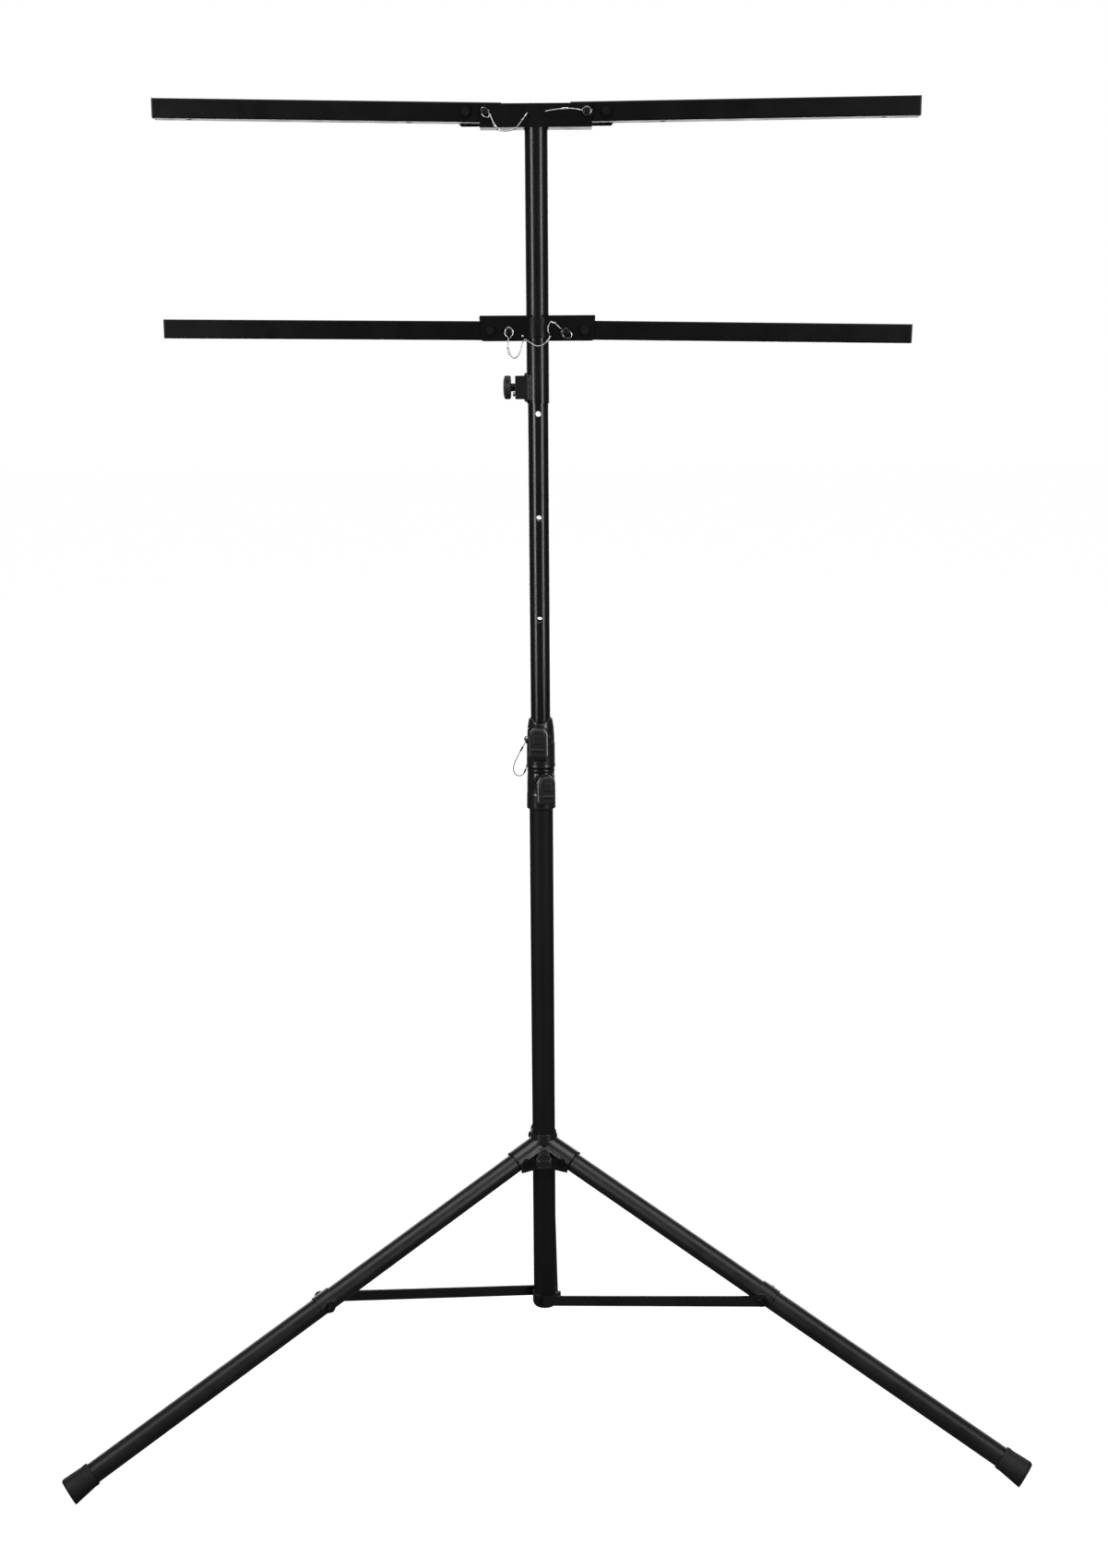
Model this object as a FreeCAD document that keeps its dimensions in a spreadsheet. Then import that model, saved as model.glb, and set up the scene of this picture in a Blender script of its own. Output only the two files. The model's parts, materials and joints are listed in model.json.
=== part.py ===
"""Folding tripod stand with two crossbars, as a parametric document.

Frame: +Z up, the mast's axis is the Z axis, the floor is the plane Z = 0.  The crossbars lie
along X and the stand's front, with its knobs and lock pins, faces -Y.  Millimetres and degrees.
"""
import FreeCAD, Part
import math
import os
import Sketcher
from FreeCAD import Placement, Rotation, Vector

doc = FreeCAD.newDocument("crossbar_stand")

# ---------------------------------------------------------------- driving sizes
DRIVING = [
    # mast: three telescoping tubes
    ("tube_wall", 1.47, "wall of every round tube"),
    ("outer_od", 41.3, "outer mast tube, diameter"),
    ("middle_od", 38.1, "middle mast tube and sleeve, diameter"),
    ("inner_od", 34.9, "inner mast tube, diameter"),
    ("mast_foot", 111, "height of the outer tube's lower end"),
    ("outer_length", 987, "outer mast tube, length"),
    ("middle_foot", 185, "height of the middle tube's lower end"),
    ("middle_length", 1000, "middle mast tube, length"),
    ("inner_foot", 1040, "height of the inner tube's lower end"),
    ("inner_length", 1115, "inner mast tube, length"),
    ("run_gap", 0.05, "radial clearance of what slides or turns"),
    ("part_gap", 0.3, "gap between pieces that pass each other"),
    ("index_pitch", 170, "spacing of the inner tube's cross holes"),
    ("index_first", 1374.5, "height of the lowest cross hole"),
    ("index_hole", 4.7, "radius of a cross hole"),
    # collars
    ("lower_collar_low", 1043, "lower collar, bottom"),
    ("lower_collar_tall", 73, "lower collar, height"),
    ("lower_collar_wide", 24.9, "lower collar, radius"),
    ("upper_collar_tall", 86.5, "upper collar, height"),
    ("upper_collar_wide", 24.5, "upper collar, radius"),
    ("bush_tall", 10, "guide bush, height"),
    ("collar_boss", 11, "radius of the boss that takes the clamp screw"),
    ("collar_boss_out", 31, "reach of that boss from the mast's axis"),
    ("stud_radius", 4, "radius of the clamp screws"),
    ("lower_knob_height", 1087, "lower collar's knob, height"),
    ("upper_knob_height", 1169, "upper collar's knob, height"),
    ("lower_knob_turn", 11, "how far the lower knob stands round to the right"),
    ("upper_knob_turn", -4, "how far the upper knob stands round to the right"),
    ("wing_width", 29, "wing knob, width"),
    ("wing_tall", 50, "wing knob, height"),
    ("wing_deep", 20, "wing knob, depth"),
    ("wing_neck", 8, "wing knob, length of its neck"),
    # bottom bracket and struts
    ("bracket_drop", 27, "bottom bracket, height below the tube"),
    ("bracket_radius", 22.8, "bottom bracket, radius"),
    ("bracket_flat", 20.95, "distance of the bracket's three flats from the axis"),
    ("strut_foot", 101, "height of the struts' inner pivots"),
    ("strut_width", 19, "strut, width of the flat bar"),
    ("strut_thick", 3, "strut, thickness of the flat bar"),
    ("strut_offset", 21.3, "distance of the strut's inner face from the leg's plane"),
    ("strut_hole", 4.05, "radius of the strut's pivot holes"),
    # legs
    ("leg_turn", 1.65, "how far the tripod stands turned from square to the bars"),
    ("leg_od", 35, "leg tube, diameter"),
    ("leg_wall", 1.5, "leg tube, wall"),
    ("leg_slope", 23.4, "leg, angle below the horizontal"),
    ("leg_length", 928, "leg, from its pivot to the end of its boot"),
    ("leg_root", 50, "distance of the leg pivots from the mast's axis"),
    ("leg_pivot", 390, "height of the leg pivots"),
    ("knuckle_length", 10, "part of the leg's knuckle outside the tube"),
    ("knuckle_plug", 40, "part of the knuckle inside the tube"),
    ("clamp_place", 426, "distance of the strut clamp from the leg's pivot"),
    ("clamp_wide", 32, "strut clamp, length along the leg"),
    ("clamp_sheet", 2, "strut clamp, thickness of its sheet"),
    ("clamp_ear", 11, "radius of the strut clamp's ears"),
    ("boot_length", 46, "rubber boot, length on the leg"),
    ("boot_radius", 21, "rubber boot, radius at its end"),
    ("boot_flare", 5.6, "rubber boot, angle by which it flares downwards"),
    # hub
    ("hub_low", 372, "hub, bottom"),
    ("hub_high", 434.5, "hub, top"),
    ("hub_sleeve", 25.2, "hub sleeve, radius"),
    ("hub_ring", 26, "hub ring, radius at its foot"),
    ("hub_ring_top", 22.8, "hub ring, radius at its top"),
    ("hub_ring_tall", 15.5, "hub ring, height"),
    ("hub_bore_gap", 0.35, "gap between the hub and the mast"),
    ("cheek_out", 59, "reach of the hub's cheeks from the axis"),
    ("cheek_half", 21.6, "half of the width over a pair of cheeks"),
    ("slot_half", 18, "half of the width between a pair of cheeks"),
    ("roof_out", 12.5, "reach of the leg cover beyond the pivot"),
    ("web_back", 34, "web between a pair of cheeks, reach behind the pivot"),
    ("web_down", 15, "web between a pair of cheeks, depth"),
    ("hub_knob_height", 398, "hub knob, height"),
    ("hub_knob_turn", 1, "how far the hub knob stands round to the right"),
    ("hub_wing_width", 29, "hub knob, width"),
    ("hub_wing_tall", 20, "hub knob, height"),
    ("hub_boss_out", 42, "reach of the hub's clamp boss from the axis"),
    # sleeve, brackets and bars
    ("sleeve_foot", 1731.7, "height of the sleeve's lower end"),
    ("web_under", 2159.6, "height of the upper bracket's underside"),
    ("web_thick", 2.6, "upper bracket, thickness of its web"),
    ("sheet_thick", 2.3, "brackets, thickness of their flanges"),
    ("upper_flange_half", 89, "upper bracket, half length of web and front flange"),
    ("upper_back_half", 124, "upper bracket, half length of the back flange"),
    ("upper_flange_tall", 36, "upper bracket, height"),
    ("back_lift", 5.6, "upper bracket, step of the back flange's free ends"),
    ("lower_half", 94.6, "lower bracket, half length"),
    ("lower_low", 1831.6, "lower bracket, bottom"),
    ("lower_tall", 40, "lower bracket, height"),
    ("lower_slant", 3.4, "lower bracket, how much shorter its bottom is at each end"),
    ("lower_corner", 2.5, "lower bracket, radius of its corners"),
    ("notch_radius", 12.4, "arch in the bottom of the lower bracket, radius"),
    ("notch_drop", 4.6, "distance of the arch's centre below the lower bracket"),
    ("corner", 6, "brackets, radius of their corners"),
    ("bar_side", 30, "crossbar tube, side of its square section"),
    ("bar_wall", 1.5, "crossbar tube, wall"),
    ("bar_corner", 2.5, "crossbar tube, radius of its edges"),
    ("bar_half", 609.6, "half length of each crossbar, tip to mast"),
    ("bar_gap", 0.3, "gap between a crossbar and a flange"),
    ("upper_axis", 2183.5, "height of the upper arms' pivots"),
    ("upper_pivot", 111.5, "distance of the upper arms' pivots from the mast"),
    ("upper_inner", 55, "distance of the upper arms' inner ends from the mast"),
    ("upper_pin", 81, "distance of the upper lock pins from the mast"),
    ("lower_axis", 1848, "height of the lower arms' pivots"),
    ("lower_pivot", 77, "distance of the lower arms' pivots from the mast"),
    ("lower_inner", 30, "distance of the lower arms' inner ends from the mast"),
    ("lower_pin", 46.5, "distance of the lower lock pins from the mast"),
    ("lower_pin_drop", 2, "lower lock pins, drop below the arms' axis"),
    ("upper_left_rise", 1.1, "how far the upper left arm stands above level"),
    ("upper_right_rise", 0.6, "how far the upper right arm stands above level"),
    ("lower_left_rise", 0.65, "how far the lower left arm stands above level"),
    ("lower_right_rise", -0.95, "how far the lower right arm stands above level"),
    ("fixing_near", 202, "distance of the near fixing hole from the mast"),
    ("fixing_far", 553, "distance of the far fixing hole from the mast"),
    ("fixing_hole", 5.25, "radius of the fixing holes for lamps"),
    ("cap_lip", 3, "end cap, thickness of its lip"),
    ("cap_plug", 18, "end cap, depth inside the tube"),
    # fasteners
    ("bolt_radius", 4, "radius of the pivot bolts"),
    ("bolt_hole", 4.06, "radius of the holes that turn on the pivot bolts"),
    ("hex_radius", 7.5, "radius over the corners of heads and nuts"),
    ("hex_tall", 5, "height of heads and nuts"),
    ("pin_radius", 3.9, "radius of the lock pins"),
    ("pin_hole", 4.2, "radius of the lock pins' holes"),
    ("pin_head", 6, "radius of a lock pin's head"),
    ("pin_head_tall", 4, "height of a lock pin's head"),
    ("pin_neck", 2.6, "lock pin, length of the neck that its ring hangs on"),
    # sleeve clamp
    ("clamp_height", 1757.5, "height of the sleeve's clamp screw"),
    ("boss_out", 37.5, "reach of the sleeve's clamp boss from the axis"),
    ("boss_tall", 38, "sleeve clamp boss, height"),
    ("boss_deep", 27, "sleeve clamp boss, width"),
    ("round_knob", 19, "round knob, radius"),
    ("round_knob_thick", 14, "round knob, thickness"),
    ("round_knob_near", 44.2, "distance of the round knob from the axis"),
    # safety pin and lanyards
    ("safety_height", 1168, "safety pin, height"),
    ("safety_turn", 210, "safety pin, direction round the mast"),
    ("wire", 1, "radius of the steel lanyards"),
    ("cord", 0.8, "radius of the safety pin's lanyard"),
    ("wire_hole", 1.7, "radius of the holes that the lanyards leave by"),
    ("wire_hole_out", 12, "upper lanyard holes, distance from the mast"),
    ("wire_hole_up", 2182, "upper lanyard holes, height"),
    ("eyelet_out", 21, "lower lanyard holes, distance from the mast"),
    ("eyelet_up", 1837.5, "lower lanyard holes, height"),
]

sizes = doc.addObject("Spreadsheet::Sheet", "sizes")
for row, (alias, number, meaning) in enumerate(DRIVING, start=1):
    sizes.set(f"A{row}", meaning)
    sizes.set(f"B{row}", str(number))
    sizes.setAlias(f"B{row}", alias)
doc.recompute()

nodes = []


def value(alias):
    """A driving size as a number, for placements and free shapes."""
    return float(sizes.get(alias))


# ---------------------------------------------------------------- building blocks
ALONG_X = Rotation(Vector(0, 1, 0), 90)
ALONG_Y = Rotation(Vector(1, 0, 0), -90)
TO_FRONT = Rotation(Vector(1, 0, 0), 90)
HERE = ("0", "0", "0")


def bind(item, **rules):
    """Tie properties to the sheet; @word stands for the cell named word."""
    for prop, text in rules.items():
        item.setExpression(prop, text.replace("@", "sizes."))


def put(item, at=HERE, turn=None):
    """Turn a primitive, then tie its place to the sheet."""
    item.Placement = Placement(Vector(), turn or Rotation())
    for axis, text in zip("xyz", at):
        item.setExpression(f".Placement.Base.{axis}", text.replace("@", "sizes."))
    return item


def rod(radius, length, at=HERE, turn=None):
    item = doc.addObject("Part::Cylinder", "rod")
    bind(item, Radius=radius, Height=length)
    return put(item, at, turn)


def block(length, width, height, at=HERE, turn=None):
    item = doc.addObject("Part::Box", "block")
    bind(item, Length=length, Width=width, Height=height)
    return put(item, at, turn)


def ball(radius, at=HERE):
    item = doc.addObject("Part::Sphere", "ball")
    bind(item, Radius=radius)
    return put(item, at)


def taper(low_radius, high_radius, length, at=HERE, turn=None):
    item = doc.addObject("Part::Cone", "taper")
    bind(item, Radius1=low_radius, Radius2=high_radius, Height=length)
    return put(item, at, turn)


def hexagon(radius, length, at=HERE, turn=None):
    item = doc.addObject("Part::Prism", "hexagon")
    item.Polygon = 6
    bind(item, Circumradius=radius, Height=length)
    return put(item, at, turn)


def moved(piece, place):
    """A piece carried to another place, its own bound place kept."""
    item = doc.addObject("Part::Compound", "moved")
    item.Links = [piece]
    item.Placement = place
    return item


def joined(*pieces):
    item = doc.addObject("Part::MultiFuse", "joined")
    item.Shapes = list(pieces)
    item.Refine = True
    return item


def shared(*pieces):
    item = doc.addObject("Part::MultiCommon", "shared")
    item.Shapes = list(pieces)
    return item


def without(base, *tools):
    item = doc.addObject("Part::Cut", "cut")
    item.Base = base
    item.Tool = tools[0] if len(tools) == 1 else joined(*tools)
    return item


def pieces_of(*solids):
    item = doc.addObject("Part::Compound", "pieces")
    item.Links = list(solids)
    return item


def node(label, item, place=None):
    """Name a finished sub-part; the label is also the name of its file."""
    item.Label = label
    if place is not None:
        item.Placement = place
    nodes.append(item)
    return item


def sketch(body, plane):
    flat = body.newObject("Sketcher::SketchObject", "sketch")
    origin = next(item for item in body.Origin.OriginFeatures if item.Role == plane)
    flat.AttachmentSupport = [(origin, "")]
    flat.MapMode = "FlatFace"
    return flat


def outline(flat, corners):
    """A closed outline through corners, each tied to the sheet by two distances."""
    count = len(corners)
    start = [Vector(20 * math.cos(k), 20 * math.sin(k), 0)
             for k in (2 * math.pi * step / count for step in range(count))]
    first = flat.GeometryCount
    for step in range(count):
        flat.addGeometry(Part.LineSegment(start[step], start[(step + 1) % count]))
    for step in range(count):
        flat.addConstraint(Sketcher.Constraint(
            "Coincident", first + step, 2, first + (step + 1) % count, 1))
    for step, corner in enumerate(corners):
        for kind, text in zip(("DistanceX", "DistanceY"), corner):
            mark = flat.addConstraint(Sketcher.Constraint(kind, -1, 1, first + step, 1, 1.0))
            flat.setExpression(f"Constraints[{mark}]", text.replace("@", "sizes."))


def turned(corners):
    """A body turned about Z from (radius, height) corners."""
    body = doc.addObject("PartDesign::Body", "turned")
    flat = sketch(body, "XZ_Plane")
    outline(flat, corners)
    turn = body.newObject("PartDesign::Revolution", "turn")
    turn.Profile = flat
    turn.ReferenceAxis = (flat, ["V_Axis"])
    turn.Angle = 360
    return body


def padded(plane, corners, thickness, reverse=False):
    """A body padded from an outline on one of its own planes; returns body and pad."""
    body = doc.addObject("PartDesign::Body", "padded")
    flat = sketch(body, plane)
    outline(flat, corners)
    pad = body.newObject("PartDesign::Pad", "pad")
    pad.Profile = flat
    pad.Reversed = reverse
    bind(pad, Length=thickness)
    return body, pad


def rounded(body, feature, radius, wanted):
    """Round the edges of a body's last feature that the test wanted(edge) picks."""
    doc.recompute()
    names = [f"Edge{number}" for number, edge in enumerate(feature.Shape.Edges, start=1)
             if wanted(edge)]
    fillet = body.newObject("PartDesign::Fillet", "rounding")
    fillet.Base = (feature, names)
    bind(fillet, Radius=radius)
    body.Tip = fillet
    return fillet


def runs_along(edge, axis):
    """True for a straight edge along one of the axes."""
    if edge.Curve.TypeId != "Part::GeomLine":
        return False
    return abs(abs(edge.Curve.Direction.dot(axis)) - 1) < 1e-6


def round_tube(diameter, wall, length, at=HERE, turn=None):
    return without(rod(f"{diameter}/2", length, at, turn),
                   rod(f"{diameter}/2-{wall}", length, at, turn))


def about_mast(angle, height=0.0):
    """A frame turned about the mast: local -Y points out at that angle from the front."""
    return Placement(Vector(0, 0, height), Rotation(Vector(0, 0, 1), angle))


def looking(angle, height):
    """A frame on the mast's axis whose local Z looks out along a direction in radians."""
    out = Vector(math.cos(angle), math.sin(angle), 0)
    return Placement(Vector(0, 0, height), Rotation(Vector(0, 0, 1), out))


# ---------------------------------------------------------------- mast
def clamp_hole(reach, height, turn):
    """A hole through one wall of a tube, where a clamp screw presses on the next tube."""
    angle = math.radians(value(turn) - 90)
    return moved(rod("@stud_radius+0.3", reach), looking(angle, value(height)))


def safety_hole(radius):
    """The hole that the safety pin goes through, out along its direction."""
    return moved(rod(radius, "60"), looking(math.radians(value("safety_turn")), value("safety_height")))


def mast_tubes():
    node("outer_mast", without(
        round_tube("@outer_od", "@tube_wall", "@outer_length", ("0", "0", "@mast_foot")),
        clamp_hole("@outer_od", "lower_knob_height", "lower_knob_turn")))
    node("middle_mast", without(
        round_tube("@middle_od", "@tube_wall", "@middle_length", ("0", "0", "@middle_foot")),
        clamp_hole("@middle_od", "upper_knob_height", "upper_knob_turn"),
        safety_hole("@pin_hole")))
    holes = [rod("@index_hole", "@outer_od", ("0", "-@outer_od/2", f"@index_first+{step}*@index_pitch"),
                 ALONG_Y) for step in range(3)]
    node("inner_mast", without(
        round_tube("@inner_od", "@tube_wall", "@inner_length", ("0", "0", "@inner_foot")), *holes))


def mast_bushes():
    """Plastic pieces that guide one tube in the next."""
    node("lower_guide_bush", turned([
        ("@middle_od/2+@run_gap", "@mast_foot+@outer_length"),
        ("@outer_od/2", "@mast_foot+@outer_length"),
        ("@outer_od/2", "@mast_foot+@outer_length+@bush_tall"),
        ("@middle_od/2+@run_gap", "@mast_foot+@outer_length+@bush_tall")]))
    node("upper_guide_bush", turned([
        ("@inner_od/2+@run_gap", "@middle_foot+@middle_length"),
        ("@middle_od/2", "@middle_foot+@middle_length"),
        ("@middle_od/2", "@middle_foot+@middle_length+@bush_tall"),
        ("@inner_od/2+@run_gap", "@middle_foot+@middle_length+@bush_tall")]))
    node("middle_foot_bush", turned([
        ("@middle_od/2-@tube_wall-4", "@middle_foot-@bush_tall"),
        ("@outer_od/2-@tube_wall-@run_gap", "@middle_foot-@bush_tall"),
        ("@outer_od/2-@tube_wall-@run_gap", "@middle_foot"),
        ("@middle_od/2-@tube_wall-@run_gap", "@middle_foot"),
        ("@middle_od/2-@tube_wall-@run_gap", "@middle_foot+2.5*@bush_tall"),
        ("@middle_od/2-@tube_wall-4", "@middle_foot+2.5*@bush_tall")]))
    node("inner_foot_bush", turned([
        ("@inner_od/2-@tube_wall-4", "@inner_foot-@bush_tall"),
        ("@middle_od/2-@tube_wall-@run_gap", "@inner_foot-@bush_tall"),
        ("@middle_od/2-@tube_wall-@run_gap", "@inner_foot"),
        ("@inner_od/2-@tube_wall-@run_gap", "@inner_foot"),
        ("@inner_od/2-@tube_wall-@run_gap", "@inner_foot+2.5*@bush_tall"),
        ("@inner_od/2-@tube_wall-4", "@inner_foot+2.5*@bush_tall")]))
    # the plug in the inner tube's top carries the sleeve and lets it turn
    node("inner_top_plug", turned([
        ("@inner_od/2-@tube_wall-6", "@inner_foot+@inner_length-3*@bush_tall"),
        ("@inner_od/2-@tube_wall-@run_gap", "@inner_foot+@inner_length-3*@bush_tall"),
        ("@inner_od/2-@tube_wall-@run_gap", "@inner_foot+@inner_length+@part_gap"),
        ("@inner_od/2", "@inner_foot+@inner_length+@part_gap"),
        ("@inner_od/2", "@web_under-@part_gap"),
        ("@inner_od/2-@tube_wall-6", "@web_under-@part_gap")]))


# ---------------------------------------------------------------- collars and their knobs
def collar(label, low, tall, wide, seat_od, seat_top, bore_od, neck, height, turn, *more_holes):
    """A cast clamp collar: a band that grips the tube below it and a neck round the next."""
    seat = f"{seat_od}/2+0.02"
    bore = f"{bore_od}/2+@part_gap+@run_gap"
    top = f"{low}+{tall}"
    band = turned([
        (seat, low), (f"{wide}-2", low), (wide, f"{low}+6"), (wide, f"{low}+0.62*{tall}"),
        (f"{wide}-0.3*({wide}-{neck})", f"{low}+0.82*{tall}"), (neck, top),
        (bore, top), (bore, f"{seat_top}+@bush_tall"), (seat, f"{seat_top}+@bush_tall")])
    boss = joined(
        rod("@collar_boss", "@collar_boss_out", ("0", "0", "0"), TO_FRONT),
        block("2*@collar_boss", "0.9*@collar_boss_out", f"0.42*{tall}",
              ("-@collar_boss", "-0.9*@collar_boss_out", f"-0.42*{tall}")))
    boss.Placement = about_mast(value(turn), value(height))
    room = rod(seat, f"{tall}+80", ("0", "0", f"{low}-40"))
    screw_hole = clamp_hole("70", height, turn)
    node(label, without(joined(band, without(boss, room)), screw_hole, *more_holes))


def collars():
    collar("lower_collar", "@lower_collar_low", "@lower_collar_tall", "@lower_collar_wide",
           "@outer_od", "(@mast_foot+@outer_length)", "@middle_od", "23.4",
           "lower_knob_height", "lower_knob_turn")
    collar("upper_collar", "(@lower_collar_low+@lower_collar_tall+@part_gap)", "@upper_collar_tall",
           "@upper_collar_wide", "@middle_od", "(@middle_foot+@middle_length)", "@inner_od", "20.8",
           "upper_knob_height", "upper_knob_turn", safety_hole("@pin_hole"))


def wing_knob(label, press_od, boss_out, height, turn, wide="wing_width", tall="wing_tall"):
    """A wing knob with its screw: the screw ends just short of the tube that it presses on."""
    body, pad = padded("XZ_Plane", [
        (f"-0.5*@{wide}", f"-0.2*@{tall}"), (f"-0.3*@{wide}", f"-0.5*@{tall}"),
        (f"0.3*@{wide}", f"-0.5*@{tall}"), (f"0.5*@{wide}", f"-0.2*@{tall}"),
        (f"0.5*@{wide}", f"0.2*@{tall}"), (f"0.25*@{wide}", f"0.5*@{tall}"),
        (f"-0.25*@{wide}", f"0.5*@{tall}"), (f"-0.5*@{wide}", f"0.2*@{tall}")], "@wing_deep")
    rounded(body, pad, "0.2*@wing_deep", lambda edge: True)
    far = value(boss_out) + value("part_gap") + value("wing_neck")
    body.Placement = Placement(Vector(0, -far, 0), Rotation())
    neck = rod(f"0.34*@{wide}", "@wing_neck+5",
               ("0", f"-@{boss_out}-@part_gap", "0"), TO_FRONT)
    screw = rod("@stud_radius", f"@{boss_out}+@wing_neck-@{press_od}/2",
                ("0", f"-@{press_od}/2-@part_gap", "0"), TO_FRONT)
    node(label, joined(body, neck, screw), about_mast(value(turn), value(height)))


def wing_knobs():
    wing_knob("lower_collar_knob", "middle_od", "collar_boss_out", "lower_knob_height", "lower_knob_turn")
    wing_knob("upper_collar_knob", "inner_od", "collar_boss_out", "upper_knob_height", "upper_knob_turn")
    wing_knob("hub_knob", "outer_od", "hub_boss_out", "hub_knob_height", "hub_knob_turn",
              "hub_wing_width", "hub_wing_tall")


def safety_pin():
    """A pull pin in the upper collar: it stops just short of the inner tube."""
    pin = turned([
        ("0", "@inner_od/2+@part_gap"), ("@pin_radius", "@inner_od/2+@part_gap"),
        ("@pin_radius", "@upper_collar_wide+1.5"), ("@pin_head-1", "@upper_collar_wide+1.5"),
        ("@pin_head-1", "@upper_collar_wide+5"), ("@pin_head-3", "@upper_collar_wide+7"),
        ("0", "@upper_collar_wide+7")])
    node("safety_pin", pin, looking(math.radians(value("safety_turn")), value("safety_height")))


# ---------------------------------------------------------------- tripod
def leg_angles():
    """Directions of the legs: front left, front right and back."""
    return {"left": 210 + value("leg_turn"), "right": 330 + value("leg_turn"),
            "back": 90 + value("leg_turn")}


def leg_frame(angle):
    """Local +X runs down the leg from its pivot, local +Z stands square on top of it."""
    outward = Placement(Vector(), Rotation(Vector(0, 0, 1), angle))
    pivot = Placement(Vector(value("leg_root"), 0, value("leg_pivot")),
                      Rotation(Vector(0, 1, 0), value("leg_slope")))
    return outward.multiply(pivot)


def strut_frame(angle):
    """Local +X runs up the strut from its inner pivot, in the plane beside the leg."""
    slope = math.radians(value("leg_slope"))
    rise = value("leg_pivot") - value("clamp_place") * math.sin(slope) - value("strut_foot")
    reach = value("leg_root") + value("clamp_place") * math.cos(slope)
    outward = Placement(Vector(), Rotation(Vector(0, 0, 1), angle))
    pivot = Placement(Vector(0, 0, value("strut_foot")),
                      Rotation(Vector(0, 1, 0), -math.degrees(math.atan2(rise, reach))))
    return outward.multiply(pivot), math.hypot(rise, reach)


def tripod_hub():
    """A cast hub: a sleeve round the mast and three forks with covers over the legs' tops."""
    sleeve = turned([
        ("@outer_od/2+@hub_bore_gap", "@hub_low"), ("@hub_sleeve-1.5", "@hub_low"),
        ("@hub_sleeve", "@hub_low+1.5"), ("@hub_sleeve", "@hub_high-@hub_ring_tall-2"),
        ("@hub_ring", "@hub_high-@hub_ring_tall"), ("@hub_ring_top", "@hub_high-1"),
        ("@hub_ring_top-0.8", "@hub_high"), ("@outer_od/2+@hub_bore_gap", "@hub_high")])
    forks = []
    rooms = []
    for angle in leg_angles().values():
        cover = shared(
            rod("@cheek_half", "@leg_root+@roof_out", ("-@leg_root", "0", "0"), ALONG_X),
            block("@leg_root+@roof_out", "2*@cheek_half", "@cheek_half", ("-@leg_root", "-@cheek_half", "0")))
        cover.Placement = leg_frame(angle)
        cheeks = block("@cheek_out", "2*@cheek_half", "@leg_pivot+2-@hub_low",
                       ("0", "-@cheek_half", "@hub_low"))
        forks.append(cover)
        outward = Placement(Vector(), Rotation(Vector(0, 0, 1), angle))
        forks.append(moved(cheeks, outward))
        web = block("@web_back+4", "2*@cheek_half", "@web_down", ("-@web_back", "-@cheek_half", "-@web_down"))
        forks.append(moved(web, leg_frame(angle)))
        along = joined(
            rod("@slot_half", "@leg_od*3", HERE, ALONG_X),
            ball("@slot_half"),
            block("@leg_od*3", "2*@slot_half", "@leg_od*3", ("0", "-@slot_half", "-@leg_od*3")))
        along.Placement = leg_frame(angle)
        down = block("3*@leg_od", "2*@slot_half", "2*@leg_od",
                     ("@leg_root-@slot_half", "-@slot_half", "@leg_pivot-2*@leg_od"))
        bolt_way = rod("@bolt_radius", "2*@cheek_half+4", ("0", "-@cheek_half-2", "0"), ALONG_Y)
        rooms.extend([along, moved(down, outward), moved(bolt_way, leg_frame(angle))])
    boss = moved(rod("@collar_boss-1.5", "@hub_boss_out", HERE, TO_FRONT),
                 about_mast(value("hub_knob_turn"), value("hub_knob_height")))
    bore = rod("@outer_od/2+@hub_bore_gap", "200", ("0", "0", "@hub_low-60"))
    above = block("200", "200", "60", ("-100", "-100", "@hub_high"))
    shell = without(joined(*forks), *rooms)
    node("tripod_hub", without(joined(sleeve, shell, boss), bore, above,
                               clamp_hole("80", "hub_knob_height", "hub_knob_turn")))
    bolts = []
    for angle in leg_angles().values():
        bolt = joined(
            rod("@bolt_radius-0.02", "2*@cheek_half", ("0", "-@cheek_half", "0"), ALONG_Y),
            hexagon("@hex_radius", "@hex_tall", ("0", "@cheek_half", "0"), ALONG_Y),
            hexagon("@hex_radius", "@hex_tall", ("0", "-@cheek_half-@hex_tall", "0"), ALONG_Y))
        bolt.Placement = leg_frame(angle)
        bolts.append(bolt)
    node("leg_pivot_bolts", pieces_of(*bolts))


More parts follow.
